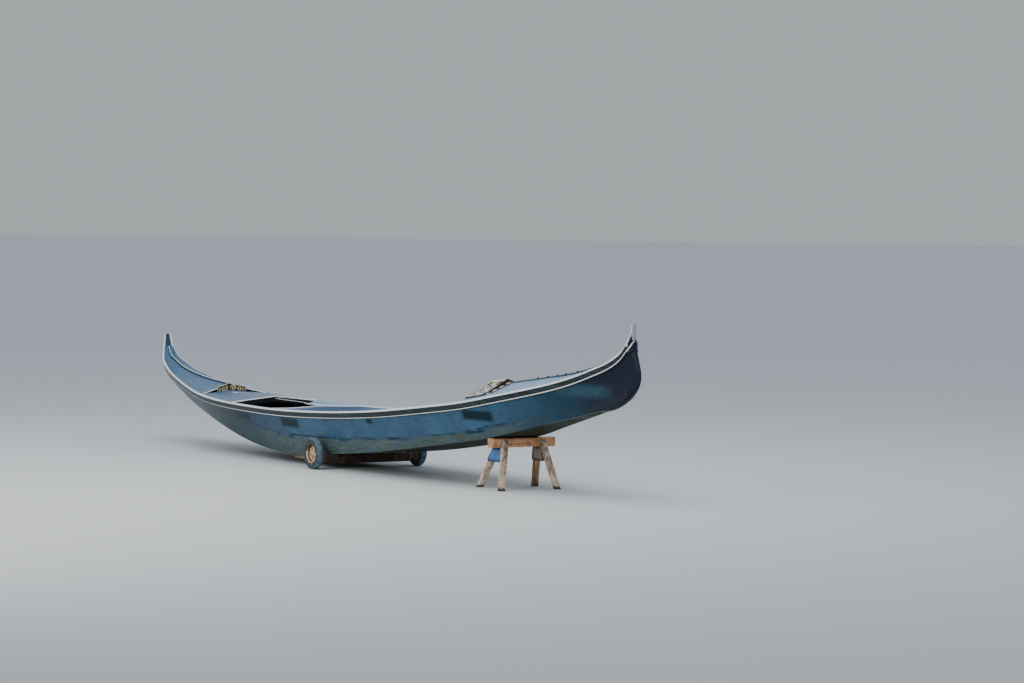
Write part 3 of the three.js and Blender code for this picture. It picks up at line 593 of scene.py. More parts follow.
def bottom_paint():
    """Dull greenish-brown bottom, weedy, with scuffs across."""
    material, tree, shader, place = new_material("bottom_paint")
    weed = noise(tree, place, 3.0, 8.0, 0.7)
    scrape = streaks(tree, place, (0.6, 6.0, 1.0), 7.0, 0.4, 0.6)
    weedy = ramp_value(tree, weed, 0.3, 0.7)
    base = mix(tree, weedy, colour(0.009, 0.013, 0.009), colour(0.026, 0.040, 0.018))
    base = mix(tree, times(tree, scrape, 0.4), base, colour(0.020, 0.020, 0.013))
    rough = ramp_value(tree, weed, 0.2, 0.8, 0.45, 0.8)
    finish_shader(tree, shader, base, rough, scrape, 0.001, 0.4, shine=0.1)
    return material


def wale_paint():
    """Dark grey-green satin band between the two white lines, scuffed along its length and worn in spots."""
    material, tree, shader, place = new_material("wale_paint")
    rub = streaks(tree, place, (0.7, 1.0, 9.0), 8.0, 0.4, 0.7)
    base = mix(tree, rub, colour(0.014, 0.021, 0.023), colour(0.046, 0.064, 0.072))
    worn = ramp_value(tree, noise(tree, place, 24.0, 6.0, 0.7), 0.62, 0.72)
    base = mix(tree, times(tree, worn, 0.3), base, colour(0.12, 0.12, 0.10))
    finish_shader(tree, shader, base, times(tree, rub, 0.25, 0.32), rub, 0.0006, 0.3, shine=0.12)
    return material


def white_paint():
    """White moulding paint, yellowed here and there, with grey rub marks and small chips."""
    material, tree, shader, place = new_material("white_paint")
    rub = streaks(tree, place, (1.0, 3.0, 3.0), 6.0, 0.5, 0.75)
    chips = ramp_value(tree, noise(tree, place, 70.0, 3.0, 0.7), 0.66, 0.70)
    yellowed = ramp_value(tree, noise(tree, place, 2.0), 0.4, 0.7)
    base = mix(tree, yellowed, colour(0.86, 0.89, 0.90), colour(0.86, 0.83, 0.74))
    base = mix(tree, times(tree, rub, 0.25), base, colour(0.48, 0.54, 0.58))
    base = mix(tree, times(tree, chips, 0.8), base, colour(0.05, 0.06, 0.06))
    base = mix(tree, attribute(tree, "inboard"), base, colour(0.060, 0.125, 0.200))
    finish_shader(tree, shader, base, times(tree, rub, 0.2, 0.35), chips, 0.0004, 0.4)
    return material


def deck_paint(name, shine, least_sky_sheen=0.0):
    """Blue-grey satin deck paint, paler on the aft deck, and paler where asked for as a painted reflection of
    the sky: darker seams between planks, soft scuffs, dust and a mossy stain, with painted cream reflections
    and painted shade where the mesh's attributes say."""
    material, tree, shader, place = new_material(name)
    seam = attribute(tree, "seam")
    along = streaks(tree, place, (0.8, 8.0, 1.0), 5.0, 0.35, 0.7)
    cloud = noise(tree, place, 2.2, 5.0)
    base = mix(tree, along, colour(0.038, 0.112, 0.200), colour(0.074, 0.185, 0.310))
    base = mix(tree, ramp_value(tree, cloud, 0.35, 0.75), base, colour(0.052, 0.140, 0.245))
    x_place = axis_of(tree, place, "X")
    pale = times(tree, ramp_value(tree, x_place, -2.4, -3.2), ramp_value(tree, cloud, 0.3, 0.7, 0.5, 0.8))
    # At least as pale as the least sky sheen: the painted reflection of the sky on a whole deck
    base = mix(tree, math_node(tree, "MAXIMUM", pale, least_sky_sheen), base, colour(0.31, 0.46, 0.62))
    scuffed = dust_mask(tree, place, 14.0, 0.40)
    base = mix(tree, scuffed, base, colour(0.20, 0.25, 0.30))
    moss = ramp_value(tree, noise(tree, place, 5.5, 6.0, 0.75), 0.66, 0.74)
    base = mix(tree, times(tree, moss, 0.5), base, colour(0.10, 0.13, 0.05))
    base = mix(tree, times(tree, seam, 0.75), base, colour(0.020, 0.036, 0.052))
    # Painted cream reflection of the gilt board, where the mesh asks for it
    base = mix(tree, attribute(tree, "cream"), base, colour(0.74, 0.68, 0.55))
    base = mix(tree, times(tree, attribute(tree, "shade"), 0.85), base, colour(0.010, 0.036, 0.090))
    rough = times(tree, scuffed, 0.4, times(tree, cloud, 0.15, 0.22))
    finish_shader(tree, shader, base, rough, noise(tree, place, 90.0, 3.0), 0.0004, 0.2, shine=shine)
    return material


def gilt_paint():
    """Carved wood: worn gold leaf on what stands proud, and black or lilac paint in the ground."""
    material, tree, shader, place = new_material("gilt_carving")
    gilt = attribute(tree, "gilt")
    worn = noise(tree, place, 60.0, 5.0, 0.7)
    leaf = ramp_value(tree, times(tree, worn, 0.5, gilt), 0.62, 0.80)
    pale = ramp_value(tree, noise(tree, place, 22.0), 0.35, 0.65)
    gold = mix(tree, pale, colour(0.66, 0.50, 0.20), colour(0.90, 0.84, 0.60))
    ground = mix(tree, attribute(tree, "lilac"), colour(0.008, 0.008, 0.010), colour(0.13, 0.125, 0.24))
    base = mix(tree, leaf, ground, gold)
    tree.links.new(times(tree, leaf, 0.25), shader.inputs["Metallic"])
    finish_shader(tree, shader, base, ramp_value(tree, leaf, 0.0, 1.0, 0.5, 0.38), worn, 0.0006, 0.3)
    return material


def dull_black():
    """Dull black framing, dusty on top."""
    material, tree, shader, place = new_material("inside_black")
    dust = dust_mask(tree, place, 9.0, 0.3)
    base = mix(tree, noise(tree, place, 4.0), colour(0.004, 0.005, 0.006), colour(0.014, 0.016, 0.018))
    base = mix(tree, dust, base, colour(0.070, 0.066, 0.060))
    finish_shader(tree, shader, base, 0.62, noise(tree, place, 55.0, 5.0), 0.0008, 0.35, shine=0.08)
    return material


def timber(name, light, dark, stain, stained, squeeze, bark=0.0, feet=0.0, saw=None):
    """Bare or stained timber, its grain along the axis that squeeze leaves longest, with long dark
    splits. Poles have bark left on the upper part and dark feet, and a sawn beam has marks across it in
    the colour saw."""
    material, tree, shader, place = new_material(name)
    made = use(tree, GRAIN, {"Vector": place, "Squeeze": squeeze, "Light": light, "Dark": dark,
                             "Stain": stain, "Stained": stained})
    dusty = dust_mask(tree, place, 12.0, 0.3)
    base = mix(tree, dusty, made["Color"], colour(0.70, 0.61, 0.48))
    split = streaks(tree, place, tuple(3 * s for s in squeeze), 9.0, 0.60, 0.66)
    base = mix(tree, times(tree, split, 0.75), base, stain)
    height = axis_of(tree, place, "Z")
    if bark:
        flakes = ramp_value(tree, noise(tree, place, 28.0, 6.0, 0.7), 0.46, 0.54)
        left = times(tree, flakes, ramp_value(tree, height, 0.12, 0.34, 0.1, bark))
        base = mix(tree, left, base, colour(0.085, 0.055, 0.035))
        base = mix(tree, times(tree, ramp_value(tree, height, 0.10, 0.26), 0.25), base,
                   colour(0.30, 0.22, 0.14))
    if feet:
        # Darker towards the foot of the post, along a noisy edge
        noisy_height = times(tree, noise(tree, place, 20.0), -0.05, height)
        base = mix(tree, ramp_value(tree, noisy_height, 0.5 * feet, -0.3 * feet), base, colour(0.020, 0.016, 0.012))
    if saw:
        marks = streaks(tree, place, (0.4, 5.0, 0.4), 9.0, 0.42, 0.60)
        base = mix(tree, times(tree, marks, 0.55), base, saw)
    finish_shader(tree, shader, base, 0.8, made["Height"], 0.002, 0.6)
    return material


def painted_board(name, node, base_colour, under_colour, rough):
    """Flat board paint, faded in clouds, worn through to the board and dark towards the edges of a node's
    box."""
    material, tree, shader, place = new_material(name)
    fade = noise(tree, place, 12.0, 5.0)
    worn = ramp_value(tree, noise(tree, place, 38.0, 6.0, 0.75), 0.60, 0.68)
    faded = tuple(min(1.0, 1.7 * c) for c in base_colour[:3]) + (1.0,)
    base = mix(tree, ramp_value(tree, fade, 0.35, 0.7), base_colour, faded)
    base = mix(tree, worn, base, under_colour)
    low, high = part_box(node)
    parts = put(tree, "SeparateXYZ", {0: place}).outputs
    away = []
    for i, axis in ((0, "X"), (2, "Z")):
        centred = math_node(tree, "SUBTRACT", parts[axis], (low[i] + high[i]) / 2)
        away.append(times(tree, math_node(tree, "ABSOLUTE", centred), 2 / (high[i] - low[i])))
    edge = times(tree, fade, 0.5, math_node(tree, "MAXIMUM", *away))
    dark = tuple(0.22 * c for c in base_colour[:3]) + (1.0,)
    base = mix(tree, ramp_value(tree, edge, 0.75, 1.15, 0.0, 0.9), base, dark)
    finish_shader(tree, shader, base, rough, fade, 0.001, 0.3)
    return material


def rusty_enamel():
    """Cream enamel on a pressed wheel, chipped to rust, which gathers in the hollows; dark rust colour also
    stands for painted shade on the outer flange's upper half and, near black, in the dish's upper side.
    """
    material, tree, shader, place = new_material("wheel_enamel")
    hollow = attribute(tree, "hollow")
    spots = noise(tree, place, 42.0, 7.0, 0.72)
    rust = ramp_value(tree, times(tree, hollow, 0.30, spots), 0.52, 0.62)
    # The deep mask is painted shade in the dish's upper side, drawn near black
    rust = math_node(tree, "MAXIMUM", rust, attribute(tree, "deep"))
    rust_colour = mix(tree, noise(tree, place, 80.0), colour(0.060, 0.014, 0.006), colour(0.30, 0.095, 0.030))
    rust_colour = mix(tree, attribute(tree, "deep"), rust_colour, colour(0.030, 0.006, 0.003))
    enamel = mix(tree, noise(tree, place, 9.0), colour(0.74, 0.52, 0.30), colour(0.84, 0.68, 0.45))
    base = mix(tree, rust, enamel, rust_colour)
    finish_shader(tree, shader, base, ramp_value(tree, rust, 0.0, 1.0, 0.35, 0.85), rust, 0.0008, 0.5)
    return material


def old_rubber():
    """Grey-blue weathered rubber, pale with dust and a painted highlight where the worn mask says, with fine
    cracks.
    """
    material, tree, shader, place = new_material("old_rubber")
    dusty = attribute(tree, "worn")
    cells = put(tree, "TexVoronoi", {"Vector": place, "Scale": 160.0}, feature="DISTANCE_TO_EDGE")
    base = mix(tree, noise(tree, place, 14.0), colour(0.010, 0.020, 0.027), colour(0.026, 0.044, 0.056))
    amount = times(tree, dusty, ramp_value(tree, noise(tree, place, 30.0, 6.0), 0.3, 0.6, 0.3, 1.0))
    # Pale dust, which also stands for the tread's painted highlight
    base = mix(tree, times(tree, amount, 0.8), base, colour(0.25, 0.36, 0.44))
    cracks = ramp_value(tree, cells.outputs["Distance"], 0.0, 0.06)
    finish_shader(tree, shader, base, 0.78, cracks, 0.0005, 0.3)
    return material


def worn_steel():
    """Dull steel, brown with rust in patches."""
    material, tree, shader, place = new_material("worn_steel")
    rust = ramp_value(tree, noise(tree, place, 30.0, 7.0, 0.7), 0.40, 0.62)
    base = mix(tree, rust, colour(0.30, 0.30, 0.30), colour(0.13, 0.05, 0.022))
    tree.links.new(ramp_value(tree, rust, 0.0, 1.0, 0.85, 0.1), shader.inputs["Metallic"])
    finish_shader(tree, shader, base, ramp_value(tree, rust, 0.0, 1.0, 0.42, 0.85), rust, 0.0006, 0.4)
    return material


hull_black = hull_paint("hull_paint")
end_black = hull_paint("end_paint", ends=True)
bottom_dull = bottom_paint()
wale_grey = wale_paint()
white_line = white_paint()
deck_blue = deck_paint("deck_paint", 0.15)
deck_navy = deck_paint("port_side_deck_paint", 0.03)
# The starboard side deck, paler all over: a painted reflection of the sky
deck_sky_sheen = deck_paint("starboard_side_deck_paint_sky_sheen", 0.15, 0.65)
gilding = gilt_paint()
inside_black = dull_black()
steel = worn_steel()
enamel = rusty_enamel()
rubber = old_rubber()
ALONG_X, ALONG_Y, ALONG_Z = (0.12, 1.6, 1.6), (1.6, 0.12, 1.6), (1.6, 1.6, 0.12)
beam_wood = timber("trestle_beam_wood", colour(0.92, 0.52, 0.26), colour(0.46, 0.18, 0.06),
                   colour(0.10, 0.06, 0.035), 0.6, ALONG_Y, saw=colour(0.30, 0.12, 0.045))
leg_wood = timber("trestle_leg_wood", colour(0.95, 0.82, 0.66), colour(0.36, 0.20, 0.10),
                  colour(0.04, 0.028, 0.020), 0.55, ALONG_Z, bark=0.8, feet=0.04)
brown_wood = timber("trestle_brown_wood", colour(0.58, 0.33, 0.13), colour(0.13, 0.065, 0.030),
                    colour(0.02, 0.016, 0.012), 0.7, ALONG_Z, feet=0.10)
# The dolly's cross beam: dark red-brown wood, its colours made darker still as painted shade under the hull
shaded_red_wood = timber("dolly_shaded_red_wood", colour(0.070, 0.026, 0.018), colour(0.022, 0.009, 0.007),
                  colour(0.012, 0.010, 0.009), 0.5, ALONG_Y)
rail_wood = timber("dolly_rail_wood", colour(0.62, 0.46, 0.31), colour(0.26, 0.17, 0.10),
                   colour(0.10, 0.08, 0.07), 0.5, ALONG_X)
blue_board = painted_board("blue_board", "trestle_port_gusset", colour(0.045, 0.140, 0.310),
                           colour(0.22, 0.24, 0.26), 0.6)
ply_board = painted_board("ply_board", "trestle_starboard_gusset", colour(0.240, 0.185, 0.140),
                          colour(0.10, 0.075, 0.055), 0.8)


# Hull

STRAKES = (0.36, 0.70)  # shares of the height at which planks meet
SEAM_DEPTH = 0.0016
SEAM_WIDTH = 0.010
HULL_COLUMNS = 460
SIDE_ROWS = 44
# Darker patches on the port side, just under the wale
PATCHES = (
    # middle x, middle z, half length, half height
    (0.66, 0.480, 0.200, 0.052),
    (1.97, 0.478, 0.200, 0.040),
    (-1.16, 0.602, 0.050, 0.030),
    (-3.07, 0.765, 0.215, 0.052),
)


def hull_stations(start, end, count):
    """Stations closer together towards the ends, by half a sine."""
    t = np.linspace(0, 1, count)
    return start + (end - start) * (0.75 * t + 0.25 * (1 - np.cos(np.pi * t)) / 2)


def side_planking(name, side):
    """One side: the outer face rises by a power curve from the bottom's edge to under the rail, with a
    shallow groove where planks meet; the inner face lies one plank inside it."""
    x = hull_stations(HULL_FROM, HULL_TO, HULL_COLUMNS)
    share = np.linspace(0, 1, SIDE_ROWS)[None, :]
    x_grid = x[:, None]
    height = plank_top(x_grid) - floor_z(x_grid)
    z = floor_z(x_grid) + share * height
    outer = side_half(x_grid, share)
    for strake in STRAKES:
        outer = outer - SEAM_DEPTH * bump_at((share - strake) * height, 0, SEAM_WIDTH / 2)
    inner = side_half(x_grid, share) - PLANK
    offsets, heights = out_and_back(outer, inner), out_and_back(z)
    rise = heights - floor_z(x_grid)
    patch = np.zeros_like(heights)
    if side > 0:
        for px, pz, half_x, half_z in PATCHES:
            across = step_at(np.abs(x_grid - px), half_x + 0.05, half_x - 0.03)
            patch = np.maximum(patch, across * step_at(np.abs(heights - pz), half_z + 0.02, half_z - 0.02))
    inside = np.repeat([0.0, 1.0], SIDE_ROWS)[None, :]
    Body().rings(hull_rings(x, offsets, heights, side), rise=rise, patch=patch, inside=inside).piece(
        f"{name}_side_shell", hull_black, "hull_paint",
        stands_for=[f"{name}_{length}_side_planking" for length in PLANK_LENGTHS])


def wale(name, side):
    """The rubbing band under the rail, its face leaning out to the rail, edges eased."""
    x = hull_stations(HULL_FROM, HULL_TO, 320)
    low = wale_bottom(x)
    inner = side_half(x, share_at(x, low)) + GAP
    top = plank_top(x)
    outline = outlines((inner, low), (inner + WALE - 0.002, low), (half_beam(x), top),
                       (side_half(x, 1.0) + GAP, top))
    Body().rings(outline_rings(x, eased(outline, 0.004), side)).piece(
        f"{name}_wale_band", wale_grey, "hull_paint",
        stands_for=[f"{name}_{length}_wale" for length in WALE_LENGTHS])


BEAD_DEPTH = 0.0125


def lower_bead(name, side):
    """White half-round moulding along the wale, a little above its lower edge."""
    x = hull_stations(HULL_FROM, HULL_TO, 320)
    low = wale_bottom(x)
    face = side_half(x, share_at(x, low)) + WALE
    turn = np.linspace(-np.pi / 2, np.pi / 2, 9)[None, :]
    offsets = face[:, None] - 0.003 + 0.007 * np.cos(turn)
    heights = low[:, None] + BEAD_DEPTH / 2 + 0.005 + BEAD_DEPTH / 2 * np.sin(turn)
    Body().rings(hull_rings(x, offsets, heights, side)).piece(
        f"{name}_lower_white_line", white_line, "white_line")


RAIL_FACE = 0.019
RAIL_DARK = 0.013  # breadth of the rail's inner strip that has the deck's colour, more on the starboard bow


def rail(name, side):
    """White capping rail on top of planking and wale, its outer face carried down over the wale's edge,
    its inner strip painted like the deck."""
    x = hull_stations(HULL_FROM, HULL_TO, 320)
    inner, outer = deck_half(x), half_beam(x) + RAIL_LIP
    top, low = sheer(x), sheer(x) - RAIL_THICK
    face = RAIL_FACE - 0.008 * step_at(x, -5.15, HULL_FROM)
    dark = RAIL_DARK + (0.010 * step_at(x, 2.9, 3.4) if side < 0 else 0.0)
    outline = outlines((inner, low), (outer - 0.008, low), (outer - 0.008, top - face), (outer, top - face),
                       (outer, top), (inner + dark, top), (inner, top))
    # The deck's colour runs from halfway round the sixth corner to the end of the first
    column = np.arange(outline.shape[1] * EASE_STEPS)
    inboard = ((column < EASE_STEPS) | (column >= 5.5 * EASE_STEPS)).astype(float)
    rings = outline_rings(x, eased(outline, [0.002, 0.001, 0.001, 0.003, 0.005, 0.0005, 0.003]), side)
    Body().rings(rings, inboard=inboard[None, :]).piece(
        f"{name}_rail_cap", white_line, "white_line", stands_for=[f"{name}_gunwale"])


for side_name, side_sign in SIDES:
    side_planking(side_name, side_sign)
    wale(side_name, side_sign)
    lower_bead(side_name, side_sign)
    rail(side_name, side_sign)


BOTTOM_PLANK = 0.21  # breadth of the planks across the bottom


def bottom():
    """Flat across and rockered along, with a shallow groove between the planks that cross it."""
    x = np.linspace(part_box("stern_bottom_planking")[0][0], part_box("bow_bottom_planking")[1][0], 900)
    half = floor_half(x) - PLANK - GAP
    low = floor_z(x) + 0.0012 * bump_at(np.mod(x, BOTTOM_PLANK), BOTTOM_PLANK / 2, 0.005)
    offset = half[:, None] * np.linspace(-1, 1, 14)[None, :]
    heights = out_and_back(low[:, None] + 0 * offset, (floor_z(x) + FLOOR_PLANK)[:, None] + 0 * offset)
    Body().rings(hull_rings(x, out_and_back(offset), heights)).piece(
        "bottom_skin", bottom_dull, "hull_paint",
        stands_for=[f"{length}_bottom_planking" for length in PLANK_LENGTHS])


bottom()


# Decks

DECK_PLANKS = 7
GROOVE = 0.0018


def gable_top(x, offset, pitch):
    """Height of a pitched deck: it rises from the rail to the ridge in proportion to the distance inboard."""
    return sheer(x) + pitch * (deck_half(x) - np.abs(offset))


def plank_seams(share, planks=DECK_PLANKS, width=0.10):
    """1 on the seams between planks that share the deck's breadth equally, 0 between them."""
    place = np.mod(share * planks, 1.0) - 0.5
    return bump_at(place, 0.5, width) + bump_at(place, -0.5, width)


def fore_sweep(share):
    """How far the fore deck's end line lies from its point: it falls back towards the rails."""
    return -FORE_SWEEP * share


aft_knee = 1 - AFT_KNEE / deck_half(AFT_DECK_END)


def aft_sweep(share):
    """How far the aft deck's end line lies forward: all at the middle, and nothing from the knee out."""
    return AFT_SWEEP * np.maximum(0, 1 - share / aft_knee)


def pitched_deck(name, side, node, pitch, end, sweep, far, butt):
    """Half of a pitched deck, slightly cambered, with grooves along its planks and one butt across them. Each
    line of points runs from its own place on the swept end line to the far end."""
    share = np.linspace(0.0005, 1, 8 * DECK_PLANKS + 1)[None, :]
    start = end + sweep(share)
    x = start + (far - start) * np.linspace(0, 1, 240)[:, None]
    offset = share * (deck_half(x) - GAP)
    seam = np.clip(plank_seams(share) * step_at(share, 0.02, 0.06) * step_at(share, 0.995, 0.95), 0, 1)
    seam = np.maximum(seam, bump_at(x, butt + 0.10 * share, 0.006))
    camber = 0.006 * np.sin(np.pi * share) * offset / 0.4
    level = gable_top(x, offset, pitch)
    top = level + camber - GROOVE * seam
    back = [-1, 0]
    rings = hull_rings(np.concatenate([x, x[:, back]], axis=1),
                       np.concatenate([offset, offset[:, back]], axis=1),
                       np.concatenate([top, level[:, back] - DECK], axis=1), side)
    seam = np.concatenate([seam, np.zeros((len(x), 2))], axis=1)
    Body().rings(rings, seam=seam).piece(name, deck_blue, "deck_paint", stands_for=[node])


for side_name, side_sign in SIDES:
    pitched_deck(f"{side_name}_fore_deck_planks", side_sign, f"{side_name}_fore_deck", FORE_PITCH,
                 FORE_DECK_END, fore_sweep, HULL_TO - 0.001, 4.82)
    pitched_deck(f"{side_name}_aft_deck_planks", side_sign, f"{side_name}_aft_deck", AFT_PITCH,
                 AFT_DECK_END, aft_sweep, HULL_FROM + 0.001, -4.10)


def ridge_batten(name, node, pitch, half_width, rise, material, slot, lift=0.0065, stands_for=()):
    """Batten with a rounded top along the ridge of a deck: half an oval, its foot on the deck's two
    slopes."""
    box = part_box(node)
    x = np.linspace(box[0][0], box[1][0], 200)
    half = np.minimum(half_width, deck_half(x) - 0.006)[:, None]
    turn = np.linspace(0, np.pi, 11)[None, :]
    foot = half * np.array([[-1.0, 0.0, 1.0]])
    offsets = np.concatenate([half * np.cos(turn), foot], axis=1)
    crest = gable_top(x[:, None], half * np.cos(turn), pitch) + lift + rise * np.sin(turn) ** 0.7
    heights = np.concatenate([crest, gable_top(x[:, None], foot, pitch) + lift - 0.004], axis=1)
    Body().rings(hull_rings(x, offsets, heights)).piece(name, material, slot, stands_for=stands_for)


ridge_batten("fore_ridge_batten", "fore_deck_ridge", FORE_PITCH, 0.015, 0.010, hull_black, "hull_paint",
             stands_for=["fore_deck_ridge"])
ridge_batten("fore_ridge_line", "fore_deck_ridge", FORE_PITCH, 0.0045, 0.0055, white_line, "white_line",
             lift=0.0150)
ridge_batten("aft_ridge_batten", "aft_deck_ridge", AFT_PITCH, 0.013, 0.009, hull_black, "hull_paint",
             stands_for=["aft_deck_ridge"])


def dome(body, centre, radius, height, around=12, rings=5):
    """Adds a low round head: circles that shrink to its crown along a quarter of an oval."""
    rise = np.linspace(0, np.pi / 2 * 0.98, rings)[:, None]
    turn = full_turn(around)[None, :]
    x = centre[0] + radius * np.cos(rise) * np.cos(turn)
    y = centre[1] + radius * np.cos(rise) * np.sin(turn)
    z = centre[2] + height * np.sin(rise) + 0 * turn
    return body.rings(np.stack([x, y, z], axis=-1))


# Round heads of the pegs along the aft ridge
PEG_PLACES = (-3.585, -3.765, -3.945, -4.10, -4.31)
pegs = Body()
for peg_x in PEG_PLACES:
    dome(pegs, (peg_x, float(middle(peg_x)), float(gable_top(peg_x, 0.0, AFT_PITCH)) + 0.012), 0.013, 0.012)
pegs.piece("aft_ridge_pegs", inside_black, "inside_paint")


def bead_across(name, x, y, z, half_x, half_z):
    """White moulding along a path across the boat: an oval section in the fore-and-aft plane."""
    turn = full_turn(10)[None, :]
    x, y, z = x[:, None] + half_x * np.cos(turn), y[:, None] + 0 * turn, z[:, None] + half_z * np.sin(turn)
    Body().rings(np.stack([x, y, z], axis=-1)).piece(name, white_line, "white_line")


WELL_TO = FORE_DECK_END - FORE_BOARD_THICK - 2 * GAP


def well_top(x, share):
    """Height of the low pitched deck at a share of its half breadth: the ridge falls towards the bow."""
    rise = WELL_RISE_AFT + (WELL_RISE_FORE - WELL_RISE_AFT) * (x - WELL_END) / (WELL_TO - WELL_END)
    return sheer(x) + rise * (1 - np.abs(share))


# Painted cream reflections of the gilt board on the low deck just abaft the carved board: x, y, half length,
# half breadth
CREAM_REFLECTIONS = ((3.20, 0.020, 0.055, 0.035), (3.16, -0.075, 0.050, 0.038))


def well_deck():
    """Low pitched deck before the cockpit, with planks along, its fore end swept to fit the board."""
    share = np.linspace(-1, 1, 91)[None, :]
    end = WELL_TO + fore_sweep(np.abs(share))
    x = WELL_END + (end - WELL_END) * np.linspace(0, 1, 120)[:, None]
    offset = share * (deck_half(x) - GAP)
    crown = well_top(x, share)
    seam = np.clip(plank_seams(np.abs(share), 6) * step_at(np.abs(share), 0.99, 0.94), 0, 1)
    seam = np.broadcast_to(seam, x.shape)
    top = crown - GROOVE * seam
    # Painted reflections of the gilt board, in cream
    cream = sum(bump_at(x, cx, length) * bump_at(offset + middle(x), cy, breadth)
                for cx, cy, length, breadth in CREAM_REFLECTIONS)
    rings = hull_rings(out_and_back(x), out_and_back(offset), out_and_back(top, crown - DECK))
    Body().rings(rings, seam=out_and_back(seam, 0 * seam), cream=out_and_back(cream, 0 * cream)).piece(
        "fore_well_planks", deck_blue, "deck_paint", stands_for=["fore_well_deck"])
    across = np.linspace(-0.97, 0.97, 60)
    y = middle(WELL_END) + across * deck_half(WELL_END)
    z = well_top(WELL_END, across)
    bead_across("fore_well_edge", np.full(60, WELL_END - 0.002), y, z - 0.006, 0.006, 0.0085)
    inner = np.linspace(-0.72, -0.02, 60)
    y = middle(WELL_END) + inner * deck_half(WELL_END)
    z = well_top(WELL_END, inner) - 0.030 - 0.020 * np.abs(inner)
    bead_across("fore_beam_line", np.full(60, WELL_END + 0.002), y, z, 0.004, 0.0045)


well_deck()


def fore_deck_edges():
    """White moulding on the fore deck's end, from the carved board out to each rail."""
    share = np.linspace(FORE_BOARD_SHARE + 0.01, 0.985, 40)
    for name, side in SIDES:
        x = FORE_DECK_END + fore_sweep(share) - 0.003
        offset = share * deck_half(x)
        z = gable_top(x, offset, FORE_PITCH) - 0.004
        bead_across(f"{name}_fore_deck_edge", x, middle(x) + side * offset, z, 0.006, 0.0065)


fore_deck_edges()

# Height of each side deck's inner edge above the rail, by x
LIFTS = {
    "port": ((-2.82, -0.010), (-2.3, -0.010), (-1.6, -0.002), (-0.8, 0.050), (0.1, 0.050), (0.9, -0.002),
             (1.7, -0.046), (2.25, -0.042)),
    "starboard": ((-2.82, -0.010), (0.1, -0.010), (0.9, -0.014), (1.7, -0.046), (2.25, -0.042)),
}
LEDGE = 0.013  # level part of a side deck over the planking's edge
COAMING_FOOT = 0.056


def side_lift(x, name):
    """How far the side deck's inner edge stands above the rail: its table, with the turns smoothed by an
    average over 0.3 m."""
    table = np.array(LIFTS[name])
    spread = np.linspace(-0.15, 0.15, 13)
    return np.mean([np.interp(x + s, table[:, 0], table[:, 1]) for s in spread], axis=0)


def side_deck(name, side):
    """Narrow deck along the cockpit, level over the planking and then sloping to the coaming. The port one is
    darker, painted shade as its slope faces away from the sky, and the starboard one is paler, a painted
    reflection of the sky."""
    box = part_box(f"{name}_side_deck")
    x = np.linspace(box[0][0], box[1][0], 260)
    inboard = np.concatenate([[0.0, LEDGE / 2], np.linspace(LEDGE, SIDE_DECK_WIDTH, 16)])[None, :]
    slope = np.clip((inboard - LEDGE) / (SIDE_DECK_WIDTH - LEDGE), 0, 1)
    offset = (deck_half(x) - GAP)[:, None] - inboard
    seam = np.clip(plank_seams(slope, 2, 0.05) * step_at(slope, 0.05, 0.15) * step_at(slope, 0.98, 0.9), 0, 1)
    seam = np.broadcast_to(seam, offset.shape)
    lift = side_lift(x, name)[:, None]
    level = sheer(x)[:, None] + lift * slope
    rings = hull_rings(x, out_and_back(offset), out_and_back(level - GROOVE * seam, level - DECK), side)
    shade = np.clip(lift / 0.05, 0, 1) * step_at(slope, 0.0, 0.1) * (side > 0)
    Body().rings(rings, seam=out_and_back(seam, 0 * seam), shade=out_and_back(shade, 0 * shade)).piece(
        f"{name}_side_deck_planks", deck_navy if side > 0 else deck_sky_sheen, "deck_paint",
        stands_for=[f"{name}_side_deck"])


BEAD = 0.012  # depth of the bead on a coaming's top edge


def coaming(name, side):
    """Upright board round the cockpit, black, with a white bead along its top edge."""
    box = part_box(f"{name}_coaming")
    x = np.linspace(box[0][0], box[1][0], 260)
    outer = deck_half(x) - SIDE_DECK_WIDTH - 2 * GAP
    inner = outer - COAMING
    top = sheer(x) + side_lift(x, name) + COAMING_LIP
    low = np.maximum(sheer(x) - COAMING_FOOT, top - COAMING_DEPTH)
    board = outlines((inner, low), (outer, low), (outer, top - BEAD), (inner, top - BEAD))
    bead = outlines((inner - 0.002, top - BEAD + 0.0002), (outer + 0.0001, top - BEAD + 0.0002),
                    (outer + 0.0001, top), (inner - 0.002, top))
    Body().rings(outline_rings(x, eased(board, 0.0015), side)).piece(
        f"{name}_coaming_board", inside_black, "inside_paint", stands_for=[f"{name}_coaming"])
    Body().rings(outline_rings(x, eased(bead, 0.003), side)).piece(
        f"{name}_coaming_bead", white_line, "white_line")


for side_name, side_sign in SIDES:
    side_deck(side_name, side_sign)
    coaming(side_name, side_sign)


# Carving


def scrollwork(u, v, scrolls, turns=1.15):
    """Height of carved scrolls at (u, v): around each centre a band winds inwards as a logarithmic
    spiral, and small leaves fringe it. scrolls is a table of centre u, centre v, radius, turning sense
    and phase."""
    height = np.zeros(np.broadcast(u, v).shape)
    for centre_u, centre_v, radius, sense, phase in scrolls:
        du, dv = u - centre_u, v - centre_v
        r = np.hypot(du, dv) / radius
        angle = np.arctan2(dv, du) * sense + phase
        winding = angle / (2 * np.pi) - turns * np.log(np.maximum(r, 0.04))
        band = np.abs(np.mod(winding, 1.0) - 0.5) * 2
        stem = step_at(band, 0.35, 0.75)
        leaves = 0.75 + 0.25 * np.sin(9 * angle + 6 * r)
        envelope = step_at(r, 1.08, 0.92)
        height = np.maximum(height, envelope * stem * leaves)
        height = np.maximum(height, step_at(r, 0.20, 0.10))
    return height


BOARD_RELIEF = 0.010


